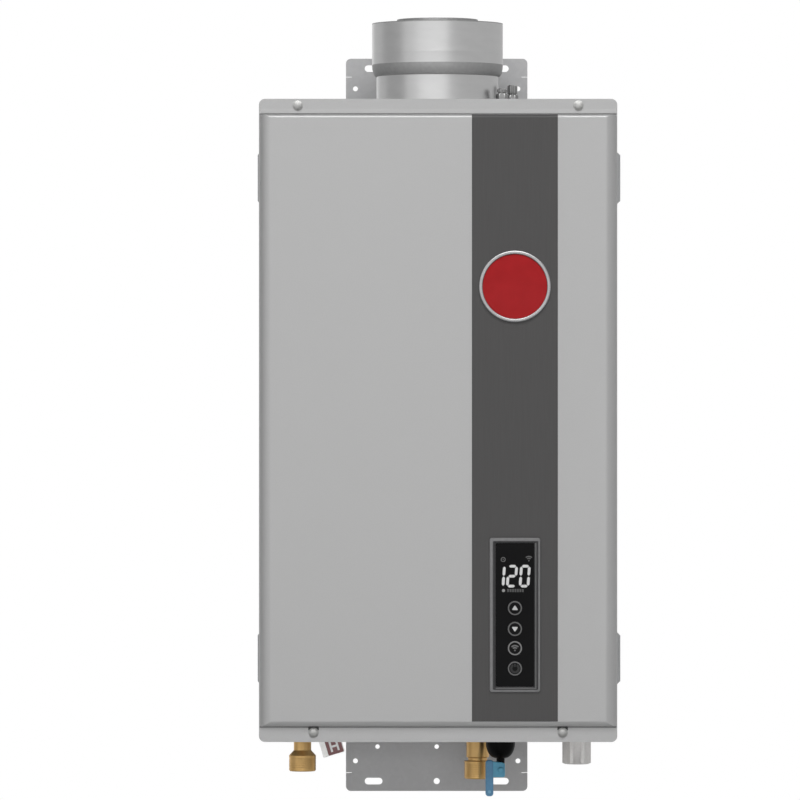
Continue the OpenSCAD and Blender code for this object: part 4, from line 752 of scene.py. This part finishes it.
def badge():
    """Silver rim and bare red dome."""
    face = high("badge_rim").y
    centre = middle("badge_rim")
    place = facing(centre.x, face, centre.z)
    outer = half_width("badge_rim")
    rim_w, rim_t = 3.8 * MM, face - low("badge_rim").y
    inner = outer - rim_w
    outline = [(inner, 0), (outer, 0), (outer, rim_t, 1.5 * MM), (inner, rim_t, 1.1 * MM)]
    turned("badge_ring", ("trim_chrome", "cover", "trim_chrome", ["badge_rim"]), rounded(outline, 8), place)

    radius = half_width("badge_face")
    edge_h, crown = 1.4 * MM, high("badge_face").y - low("badge_face").y
    steps = 24
    dome = [(radius * (1 - k / steps), edge_h + (crown - edge_h) * (1 - (1 - k / steps) ** 2))
            for k in range(steps + 1)]
    turned("badge_dome", ("badge_enamel", "cover", "badge_enamel", ["badge_face"]),
           [(0, 0), (radius, 0), *dome], place, closed=False)


def control_bezel():
    """Frame round the control glass: a light edge, broad at the left and top as painted light, and a dark
    face with a painted highlight line along its right and bottom.
    """
    face = high("panel_bezel").y
    centre = middle("panel_bezel")
    place = facing(centre.x, face, centre.z)
    size = high("panel_bezel") - low("panel_bezel")
    glass = high("panel_glass") - low("panel_glass")
    gap = 0.1 * MM
    thick, glass_t = size.y, glass.y
    # The light edge is broad at the left and top and narrow at the right and bottom: painted light from the
    # upper left.
    broad, narrow, face_t, chamfer = 3.4 * MM, 2.1 * MM, 1.7 * MM, 1 * MM
    lens_w, lens_h, lens_r = glass.x + 2 * gap, glass.z + 2 * gap, 1.1 * MM
    outer_r = 2.5 * MM
    lit_shift = Vector((broad - narrow, narrow - broad)) / 2

    def ring(inset, level):
        outline = box_outline(size.x - 2 * inset, size.z - 2 * inset, outer_r - inset, 8)
        return outline, level

    def inner(grow, level):
        cut = broad + narrow - 2 * grow
        return box_outline(size.x - cut, size.z - cut, 1 * MM + grow, 8, lit_shift), level

    def window(grow, level):
        return box_outline(lens_w + 2 * grow, lens_h + 2 * grow, lens_r + grow, 8), level

    shape = bmesh.new()
    loft(shape, (inner(0, 0), inner(0, face_t), window(chamfer, face_t), window(0, glass_t - 0.5 * MM),
                 window(0, 0)), place)
    piece("bezel_face", shape, "bezel_plastic", "cover", "bezel_plastic", ["panel_bezel"])
    shape = bmesh.new()
    loft(shape, (inner(0, 0), ring(0, 0), ring(0, thick - 0.6 * MM), ring(0.25 * MM, thick - 0.15 * MM),
                 ring(0.7 * MM, thick), inner(0.5 * MM, thick), inner(0, face_t)), place)
    piece("bezel_rim", shape, "bezel_lit_edge", "cover", "bezel_plastic", ["panel_bezel"])
    # A lighter line along the face's right and bottom edges: a painted highlight.
    near, far = chamfer + 0.1 * MM, chamfer + 1.2 * MM
    right, foot = lens_w / 2, -lens_h / 2
    outline = [(-right, foot - far), (right + far, foot - far), (right + far, -foot), (right + near, -foot),
               (right + near, foot - near), (-right, foot - near)]
    plate("bezel_glint_line", ("bezel_line", "cover", "bezel_plastic", ["panel_bezel"]),
          outline, place, face_t - 0.1 * MM, face_t + PRINT_T)


# Segments of a digit: a top, b upper right, c lower right, d bottom, e lower left, f upper left, g middle
DIGIT_SEGMENTS = {"0": "abcdef", "1": "bc", "2": "abged"}


def digit(shape, place, text, size, stroke, slant, bottom, top):
    """One slanted seven-segment digit, its lower left corner at the frame's origin."""
    width, height = size
    half = height / 2
    joint = stroke * 0.12
    ends = {
        "a": ((0, height), (width, height)), "g": ((0, half), (width, half)), "d": ((0, 0), (width, 0)),
        "f": ((0, half), (0, height)), "e": ((0, 0), (0, half)),
        "b": ((width, half), (width, height)), "c": ((width, 0), (width, half)),
    }
    for name in DIGIT_SEGMENTS[text]:
        start, end = Vector(ends[name][0]), Vector(ends[name][1])
        along = (end - start).normalized()
        side = Vector((-along.y, along.x)) * stroke / 2
        first, last = start + along * joint, end - along * joint
        nose = along * stroke / 2
        corners = [first, first + nose - side, last - nose - side,
                   last, last - nose + side, first + nose + side]
        slab(shape, [(p.x + slant * p.y, p.y) for p in corners], place, bottom, top)


def display():
    """Temperature digits and small signs behind the glass."""
    glass = low("panel_glass").y
    place = facing(0, glass, 0)
    stroke, slant = 2.7 * MM, 0.07
    size = (7.7 * MM, 19.4 * MM)
    base = -156.2 * MM
    for k, (text, left) in enumerate((("1", 55.53), ("2", 67.4), ("0", 79.85))):
        shape = bmesh.new()
        digit(shape, place @ standing(left * MM, base), text, size, stroke, slant, 0, PRINT_T)
        piece(f"display_digit_{k + 1}", shape, "display_light", "cover", "panel_gloss")
    shape = bmesh.new()
    clock = place @ standing(63.4 * MM, -130.3 * MM)
    arc_band(shape, clock, 2 * MM, 0.9 * MM, 0, TURN, 0, PRINT_T)
    disc(shape, clock, 0.6 * MM, 0, PRINT_T)
    piece("display_clock", shape, "display_dim", "cover", "panel_gloss")
    shape = bmesh.new()
    signal(shape, place @ standing(88.4 * MM, -131.4 * MM), 4.6 * MM, 0, PRINT_T)
    piece("display_signal", shape, "display_dim", "cover", "panel_gloss")
    row = -160.5 * MM
    shape = bmesh.new()
    disc(shape, place @ standing(63.7 * MM, row), 1.5 * MM, 0, PRINT_T)
    piece("display_dot", shape, "display_mid", "cover", "panel_gloss")
    cells, cell_w, cell_h, pitch = 7, 1.7 * MM, 3.2 * MM, 2.4 * MM
    shape = bmesh.new()
    for k in range(cells):
        x = 75.35 * MM + (k - (cells - 1) / 2) * pitch
        slab(shape, box_outline(cell_w, cell_h, 0.3 * MM, 3, (x, row)), place, 0, PRINT_T)
    piece("display_bar", shape, "display_cell", "cover", "panel_gloss")


def disc(shape, place, radius, bottom, top, steps=24):
    """A flat round mark."""
    revolve(shape, [(0, bottom), (radius, bottom), (radius, top), (0, top)], place, steps, closed=False)


def signal(shape, place, size, bottom, top):
    """Sign for wireless: a dot under two arcs."""
    disc(shape, place, size * 0.16, bottom, top, 20)
    for share in (0.5, 0.9):
        arc_band(shape, place, size * share, size * 0.26, radians(45), radians(135), bottom, top)


def triangle(shape, place, size, bottom, top):
    """Sign for up, or for down when it is turned."""
    foot, tip, corner = -size * 0.6, size * 0.9, size * 0.2
    outline = [(-size, foot, corner), (size, foot, corner), (0, tip, corner)]
    slab(shape, rounded(outline, 4), place, bottom, top)


def power_sign(shape, place, size, bottom, top):
    """Sign for power: a broad open ring and a bar."""
    arc_band(shape, place, size, size * 0.6, radians(118), radians(422), bottom, top)
    slab(shape, box_outline(size * 0.42, size * 0.9, size * 0.1, 3, (0, size * 0.85)), place, bottom, top)


def buttons():
    """Four round push buttons, each with a printed ring and its sign."""
    upright = Matrix.Identity(4)
    upside_down = Matrix.Rotation(pi, 4, "Z")
    wave, ring_r, ring_w = 5.2 * MM, 6.25 * MM, 1.2 * MM
    lowered = standing(0, -wave * 0.41)
    signs = (
        ("up_button", triangle, upright, 3.3 * MM, "glyph_light", "ring_print"),
        ("down_button", triangle, upside_down, 3.3 * MM, "glyph_light", "ring_print"),
        ("wireless_button", signal, lowered, wave, "glyph_mid", "ring_bright"),
        ("power_button", power_sign, upright, 3.6 * MM, "glyph_dim", "ring_print"),
    )
    for node, sign, turn, size, ink, ring in signs:
        centre = middle(node)
        back = high(node).y
        place = facing(centre.x, back, centre.z)
        lip_r = half_width(node)
        cap_r, lip_t = lip_r - 0.9 * MM, 0.8 * MM
        top = back - low(node).y
        outline = [(0, 0), (lip_r, 0), (lip_r, lip_t), (cap_r, lip_t), (cap_r, top, 0.35 * MM), (0, top)]
        turned(f"{node}_cap", ("button_plastic", node, "button_plastic", [node]),
               rounded(outline), place, SMALL_ROUND, closed=False)
        shape = bmesh.new()
        arc_band(shape, place, ring_r, ring_w, 0, TURN, top, top + PRINT_T)
        piece(f"{node}_ring", shape, ring, node, "button_plastic")
        shape = bmesh.new()
        sign(shape, place @ turn, size, top, top + PRINT_T)
        piece(f"{node}_sign", shape, ink, node, "button_plastic")


def cover_screws():
    """Four hexagon screws with a washer face and a crowned head."""
    left, right = low("cover_screws"), high("cover_screws")
    washer_r, washer_t, hex_r = 5 * MM, 1 * MM, 3.9 * MM
    band = left.y + 3.8 * MM
    shank = right.y - band
    shank_r = 2 * MM
    head = band - left.y
    upper_x, lower_x = 137 * MM, LOWER_SCREW_X
    upper_z, lower_z = right.z - washer_r, left.z + washer_r
    places = ((-upper_x, upper_z), (upper_x, upper_z), (-lower_x, lower_z), (lower_x, lower_z))
    hex_bend = hexagon(hex_r, radians(30))

    def bend(angle, radius, height):
        return hex_bend(angle, radius, height) if height > washer_t + 0.05 * MM else radius

    outline = [
        (0, -shank), (shank_r * 0.4, -shank), (shank_r, -shank + 3 * MM), (shank_r, 0),
        (washer_r, 0, 0.2 * MM), (washer_r, washer_t * 0.6, 0.3 * MM), (hex_r, washer_t),
        (hex_r, washer_t + 0.1 * MM),
        (hex_r, head - 1 * MM), (hex_r * 0.86, head - 0.5 * MM), (hex_r * 0.5, head - 0.1 * MM), (0, head),
    ]
    for k, (x, z) in enumerate(places):
        turned(f"cover_screw_{k + 1}", ("screw_steel", "cover", "screw_steel", ["cover_screws"]),
               rounded(outline, 4), facing(x, band, z), SMALL_ROUND + 32, bend, closed=False)


# Fittings underneath

# Pipe thread and bore of the water fittings, and the spigot that each fitting has above the case's floor
THREAD_R, THREAD_PITCH, THREAD_DEPTH = 13.35 * MM, 1.814 * MM, 0.14 * MM
WATER_BORE = 6.5 * MM
SPIGOT_R, SPIGOT_H = 8.65 * MM, 15.2 * MM


def hot_outlet():
    """Brass outlet with a pipe thread, a shoulder and a flange."""
    mouth, top = span("hot_outlet")
    bore, thread_r, neck_r = WATER_BORE, THREAD_R, SPIGOT_R
    flange_r, flange_t = half_width("hot_outlet"), 2.5 * MM
    floor = top - SPIGOT_H
    thread_top, shoulder = mouth + 15.7 * MM, mouth + 20.7 * MM
    outline = [
        (bore, mouth + 0.6 * MM), (bore + 0.6 * MM, mouth), (thread_r - 1 * MM, mouth),
        *threaded(thread_r, mouth + 1 * MM, thread_top, THREAD_PITCH / 8),
        (neck_r, shoulder, 1 * MM), (neck_r, floor - flange_t), (flange_r, floor - flange_t, 0.4 * MM),
        (flange_r, floor, 0.2 * MM), (neck_r, floor), (neck_r, top, 0.5 * MM), (bore, top),
    ]
    groove = thread(mouth + 1.2 * MM, thread_top - 1 * MM, THREAD_PITCH, THREAD_DEPTH)
    turned("hot_fitting", ("brass_body", "root", "brass_body", ["hot_outlet"]),
           rounded(outline), axis_of("hot_outlet"), SMALL_ROUND, groove)


def cold_inlet():
    """Brass inlet with a pipe thread, and the head of its strainer on a short branch."""
    mouth, top = span("cold_inlet")
    x, y = 40 * MM, middle("hot_outlet").y
    bore, thread_r, spigot_r, body_r, neck_r = WATER_BORE, THREAD_R, SPIGOT_R, 11.3 * MM, 9.5 * MM
    flange_r, flange_t = x - low("cold_inlet").x, 2.5 * MM
    floor = top - SPIGOT_H
    thread_top = mouth + 17.9 * MM
    foot = thread_top + 3.2 * MM
    outline = [
        (bore, mouth + 0.6 * MM), (bore + 0.6 * MM, mouth), (thread_r - 1 * MM, mouth),
        *threaded(thread_r, mouth + 1 * MM, thread_top - 0.5 * MM, THREAD_PITCH / 8),
        (thread_r - 0.5 * MM, thread_top), (neck_r, thread_top, 0.5 * MM), (neck_r, foot, 0.5 * MM),
        (body_r, foot, 0.8 * MM), (body_r, floor - flange_t, 0.8 * MM),
        (flange_r, floor - flange_t, 0.4 * MM), (flange_r, floor, 0.2 * MM),
        (spigot_r, floor), (spigot_r, top, 0.5 * MM), (bore, top),
    ]
    groove = thread(mouth + 1.2 * MM, thread_top - 1 * MM, THREAD_PITCH, THREAD_DEPTH)
    turned("cold_fitting", ("brass_body", "root", "brass_body", ["cold_inlet"]),
           rounded(outline), standing(x, y), SMALL_ROUND, groove)

    bowl = middle("strainer_bowl")
    head_r, head_h, branch_r = 15.5 * MM, 14 * MM, 5 * MM
    head_bottom = high("strainer_bowl").z
    outline = [(0, head_bottom), (head_r, head_bottom, 0.8 * MM), (head_r, head_bottom + head_h, 1.5 * MM),
               (0, head_bottom + head_h)]
    turned("strainer_head", ("brass_body", "root", "brass_body", ["cold_inlet"]),
           rounded(outline), standing(bowl.x, bowl.y), SMALL_ROUND, closed=False)
    way = Vector((bowl.x - x, bowl.y - y, 0))
    turn = way.to_track_quat("Z", "Y").to_matrix().to_4x4()
    along = standing(x, y, head_bottom + head_h / 2) @ turn
    # The branch reaches into the fitting and into the head
    start, end = body_r * 0.8, way.length - head_r * 0.8
    outline = [(0, start), (branch_r, start), (branch_r, end), (0, end)]
    turned("strainer_branch", ("brass_body", "root", "brass_body", ["cold_inlet"]),
           outline, along, SMALL_ROUND, closed=False)


def strainer_bowl():
    """Black bowl with grip ribs, a cone and a drain nipple."""
    foot, top = span("strainer_bowl")
    radius = half_width("strainer_bowl")
    nipple_r, bore = 4 * MM, 2 * MM
    cup_foot, cup_top, waist = foot + 5.2 * MM, foot + 20.4 * MM, 4.4 * MM
    rib_depth, ribs = 0.25 * MM, 24

    def bend(angle, reach, height):
        if reach < radius - 0.01 * MM or height > top - 2 * MM:
            return reach
        return reach - rib_depth * (0.5 - 0.5 * cos(ribs * angle)) ** 3

    steps = 12
    cup = []
    for k in range(steps + 1):
        angle = pi / 2 * k / steps
        reach = waist + (radius - waist) * sin(angle)
        cup.append((reach, cup_top - (cup_top - cup_foot) * cos(angle)))
    outline = [
        (bore, foot), (nipple_r, foot, 0.4 * MM), (nipple_r, cup_foot), *cup, (radius, top - 2.2 * MM),
        (radius, top - 2 * MM), (radius, top, 0.4 * MM), (bore, top),
    ]
    turned("strainer_cup", ("black_nylon", "root", "black_nylon", ["strainer_bowl"]),
           rounded(outline), axis_of("strainer_bowl"), 8 * ribs, bend)


def drain_lever():
    """Quarter-turn lever: a blue arm, a paler hub, a dimple near the tip in paler plastic as a painted
    highlight, and a domed cap on its screw.
    """
    near, far = low("drain_lever"), high("drain_lever")
    pivot = middle("drain_spindle")
    thick = far.y - near.y
    arm_w, arm_r = 7.8 * MM, 3 * MM
    arm_h = far.z - near.z
    arm_x, arm_z = near.x + arm_w / 2, (near.z + far.z) / 2
    plate("lever_arm", ("blue_nylon", "drain_lever", "blue_nylon", ["drain_lever"], 1.4 * MM),
          box_outline(arm_w, arm_h, arm_r, 8), facing(arm_x, far.y, arm_z), 0, thick)

    # The dimple's paler plastic is a painted highlight near the arm's tip.
    dimple_r, dimple_z = 1.6 * MM, near.z + 4.4 * MM
    outline = [(0, 0), (dimple_r, 0), (dimple_r, 0.35 * MM, 0.3 * MM), (0, 0.35 * MM)]
    turned("lever_dimple_glint", ("pale_nylon", "drain_lever", "blue_nylon"),
           rounded(outline), facing(arm_x, near.y + 0.1 * MM, dimple_z), 32, closed=False)

    half, rise, hub_t = 7 * MM, 2.2 * MM, thick - 0.6 * MM
    outline = [(arm_x, pivot.z - half), (far.x, pivot.z - half, 2 * MM), (far.x, pivot.z + half, 2 * MM),
               (arm_x, pivot.z + half + rise)]
    plate("lever_hub", ("teal_nylon", "drain_lever", "blue_nylon", ["drain_lever"], 0.8 * MM),
          rounded(outline), facing(0, far.y, 0), 0, hub_t)

    centre = middle("lever_screw")
    cap_r = half_width("lever_screw")
    cap_t = high("lever_screw").y - low("lever_screw").y + thick - hub_t
    outline = [(0, 0), (cap_r, 0), (cap_r, cap_t, cap_t * 0.6), (0, cap_t)]
    place = facing(centre.x, near.y + thick - hub_t, centre.z)
    turned("lever_cap", ("teal_nylon", "drain_lever", "blue_nylon", ["lever_screw"]),
           rounded(outline, 10), place, SMALL_ROUND, closed=False)


def gas_inlet():
    """Hexagon gas fitting with chamfered ends and a deep socket."""
    mouth, top = span("gas_inlet")
    corner_r = half_width("gas_inlet")
    socket_r, socket_d, bore, neck_r = 9.3 * MM, 20 * MM, 6 * MM, SPIGOT_R
    floor = top - SPIGOT_H
    cone = 1.1 * MM
    outline = [
        (socket_r, mouth + 0.8 * MM), (socket_r + 0.8 * MM, mouth), (corner_r - 2 * cone, mouth),
        (corner_r, mouth + cone), (corner_r, floor - cone), (corner_r - 2 * cone, floor), (neck_r, floor),
        (neck_r, top), (bore, top), (bore, mouth + socket_d), (socket_r, mouth + socket_d - 2 * MM),
    ]
    flat = hexagon(corner_r)

    def bend(angle, radius, height):
        return flat(angle, radius, height) if radius > neck_r + 2 * MM else radius

    turned("gas_fitting", ("gas_alloy", "root", "gas_alloy", ["gas_inlet"]),
           outline, axis_of("gas_inlet"), 96, bend)


def tag_print():
    """Letter on the hot tag: a white H on a dark square, its ink glowing faintly as painted light."""
    hole_x, hole_z = high("tag_tie").x - 2 * MM, middle("tag_tie").z
    tilt = radians(17)
    place = facing(hole_x, low("hot_tag").y, hole_z) @ Matrix.Rotation(tilt, 4, "Z")
    centre = Vector((2.3 * MM, -17.7 * MM))
    side = 15.7 * MM
    plate("tag_square", ("tag_maroon", "root", "tag_card"),
          box_outline(side, side, 0.8 * MM, 4, centre), place, 0, PRINT_T)
    stroke, tall, wide = 2.1 * MM, 10.5 * MM, 8.8 * MM
    shape = bmesh.new()
    for sign in (-1, 1):
        upright = box_outline(stroke, tall, 0.2 * MM, 2, centre + Vector((sign * (wide - stroke) / 2, 0)))
        slab(shape, upright, place, PRINT_T, 2 * PRINT_T)
    slab(shape, box_outline(wide - 2 * stroke, stroke, 0.01 * MM, 2, centre), place, PRINT_T, 2 * PRINT_T)
    # The letter's ink glows faintly: painted light.
    piece("tag_letter", shape, "tag_white_glow", "root", "tag_card")


def power_gland():
    """Black cable gland with a ribbed dome nut."""
    foot, top = span("power_gland")
    hex_r, neck_r, bore = half_width("power_gland"), 7 * MM, 4 * MM
    floor = foot + 13 * MM
    seat = floor - 6.5 * MM
    ribs = 18
    flat = hexagon(hex_r)

    def bend(angle, radius, height):
        if radius > neck_r + 0.01 * MM:
            return flat(angle, radius, height)
        if radius == neck_r and height < seat:
            return radius - 0.4 * MM * (0.5 + 0.5 * cos(ribs * angle))
        return radius

    outline = [
        (bore, foot + 0.5 * MM), (bore + 0.5 * MM, foot), (neck_r - 1.5 * MM, foot), (neck_r, foot + 2 * MM),
        (neck_r, seat - 0.2 * MM), (hex_r * 0.9, seat), (hex_r, seat + 0.6 * MM), (hex_r, floor - 0.3 * MM),
        (hex_r * 0.95, floor), (neck_r, floor), (neck_r, top), (bore, top),
    ]
    turned("gland_nut", ("black_nylon", "root", "black_nylon", ["power_gland"]),
           outline, axis_of("power_gland"), 144, bend)


# CAD nodes

def dress_nodes():
    """Gives every node the finish of its slot."""
    for node in frame["nodes"].values():
        slot = node.material_slots[0].material.name.split(".")[0]
        node.material_slots[0].material = FINISH[slot]


# Stage

WHITE = (1, 1, 1, 1)
# Level of the world's light on the object, and of the floor's own glow for the camera
AMBIENT = 0.03
FLOOR_GLOW = 0.35
# How far the floor lies below the object, and reaches to each side
FLOOR_DROP, FLOOR_REACH = 0.5, 6
# The cards stand round this depth
CARD_Y = -0.13
CAMERA_AWAY = 6.2
CAMERA_X, CAMERA_Z = -0.0372, 0.0252
# Width of the sensor in millimetres, and of the view at the cover's front in metres
SENSOR_W, VIEW_W = 36, 0.78


def plain_shader(name, tone, glow):
    """A stage material that shines by itself in one grey."""
    finish = Finish(name, Base_Color=(tone, tone, tone, 1), Roughness=0.8)
    fill(finish.shader, Emission_Color=WHITE, Emission_Strength=glow)
    return finish.material


def stage_piece(name, shape, material, unseen=False):
    """A piece of the stage; an unseen one shows only in reflections."""
    mesh = bpy.data.meshes.new(name)
    shape.to_mesh(mesh)
    shape.free()
    mesh.materials.append(material)
    obj = bpy.data.objects.new(name, mesh)
    obj.visible_camera = not unseen
    obj.visible_shadow = not unseen
    obj.visible_diffuse = not unseen
    scene.collection.objects.link(obj)


def level_sheet(x, y, level):
    shape = bmesh.new()
    corners = ((x[0], y[0]), (x[1], y[0]), (x[1], y[1]), (x[0], y[1]))
    shape.faces.new([shape.verts.new((*corner, level)) for corner in corners])
    return shape


def floor():
    """Pale floor below the object, and a grey card on it that keeps its shine off the underside."""
    level = cad_box[0][2] - FLOOR_DROP
    pale = plain_shader("floor_pale", 0.8, 0.0)
    tree = pale.node_tree
    rays = tree.nodes.new("ShaderNodeLightPath")
    glow = tree.nodes.new("ShaderNodeMath")
    glow.operation = "MULTIPLY"
    glow.inputs[1].default_value = FLOOR_GLOW
    tree.links.new(rays.outputs["Is Camera Ray"], glow.inputs[0])
    tree.links.new(glow.outputs["Value"], tree.nodes["Principled BSDF"].inputs["Emission Strength"])
    reach = (-FLOOR_REACH, FLOOR_REACH)
    stage_piece("floor", level_sheet(reach, reach, level), pale)
    low_card = level_sheet((-2.5, 2.5), (-4, 0.5), level + 0.02)
    stage_piece("card_low", low_card, plain_shader("card_low", 0.0, 0.3), True)


def card(name, start, end, glow, foot=-1.6, head=1.6, radius=2.6, steps=24):
    """A curved grey card beside the object, seen only in reflections."""
    shape = bmesh.new()
    rows = []
    for i in range(steps + 1):
        angle = radians(start + (end - start) * i / steps)
        x, y = radius * sin(angle), -radius * cos(angle)
        rows.append([shape.verts.new((x, y + CARD_Y, z)) for z in (foot, head)])
    for first, second in zip(rows, rows[1:]):
        shape.faces.new((first[0], second[0], second[1], first[1]))
    stage_piece(name, shape, plain_shader(name, 0.0, glow), True)


def area_light(name, place, target, size, power):
    """A soft box; metal mirrors the studio's cards and backdrop instead of it."""
    light = bpy.data.lights.new(name, "AREA")
    light.shape = "RECTANGLE"
    light.size, light.size_y = size
    light.energy = power
    obj = bpy.data.objects.new(name, light)
    obj.location = place
    obj.rotation_euler = (Vector(target) - Vector(place)).to_track_quat("-Z", "Y").to_euler()
    obj.visible_glossy = False
    scene.collection.objects.link(obj)


def world():
    """White for the camera, gloss and glass; a softer level for the light that falls on the object."""
    made = bpy.data.worlds.new("studio")
    made.use_nodes = True
    scene.world = made
    tree = made.node_tree
    white = tree.nodes["Background"]
    fill(white, Color=WHITE)
    soft = tree.nodes.new("ShaderNodeBackground")
    fill(soft, Color=WHITE, Strength=AMBIENT)
    rays = tree.nodes.new("ShaderNodeLightPath")
    seen = rays.outputs["Is Camera Ray"]
    for kind in ("Is Glossy Ray", "Is Transmission Ray"):
        larger = tree.nodes.new("ShaderNodeMath")
        larger.operation = "MAXIMUM"
        tree.links.new(seen, larger.inputs[0])
        tree.links.new(rays.outputs[kind], larger.inputs[1])
        seen = larger.outputs["Value"]
    choose = tree.nodes.new("ShaderNodeMixShader")
    tree.links.new(seen, choose.inputs["Fac"])
    tree.links.new(soft.outputs["Background"], choose.inputs[1])
    tree.links.new(white.outputs["Background"], choose.inputs[2])
    tree.links.new(choose.outputs["Shader"], tree.nodes["World Output"].inputs["Surface"])


def camera():
    """Long lens, straight from the front, with its axis at the photograph's middle."""
    lens_data = bpy.data.cameras.new("camera")
    lens_data.lens = SENSOR_W * CAMERA_AWAY / VIEW_W
    lens_data.sensor_width = SENSOR_W
    lens_data.clip_end = 100
    obj = bpy.data.objects.new("camera", lens_data)
    obj.location = (CAMERA_X, low("front_cover").y - CAMERA_AWAY, CAMERA_Z)
    obj.rotation_euler = (pi / 2, 0, 0)
    scene.collection.objects.link(obj)
    scene.camera = obj


def studio():
    """Soft light from the front, from above and from behind, with grey cards at both sides."""
    scene.view_settings.view_transform = "Standard"
    world()
    floor()
    card("card_left_back", -150, -112, 0.6)
    card("card_left", -112, -63, 0.42)
    card("card_left_front", -63, -37, 0.76)
    card("card_right", 19, 165, 0.56)
    card("card_high", -30, 30, 4.4, 1.7, 4.0)
    area_light("fill", (0, -5.2, -0.4), (0, -0.2, 0), (2.4, 1.6), 57)
    area_light("key", (0, -2.9, 2.2), (0, -0.2, 0), (2.2, 1.8), 63)
    for side in (-1, 1):
        area_light(f"back_{side}", (side * 2.4, 3.6, 1.4), (0, 0.1, 0), (1.6, 1.6), 110)
    camera()


STEPS = (
    vent_collar, flue_pipe, sampling_ports, cover_seams, strip_end, screw_slots, badge, control_bezel,
    display, buttons, cover_screws, hot_outlet, cold_inlet, strainer_bowl, drain_lever, gas_inlet,
    tag_print, power_gland, dress_nodes, studio,
)
for make in STEPS:
    make()
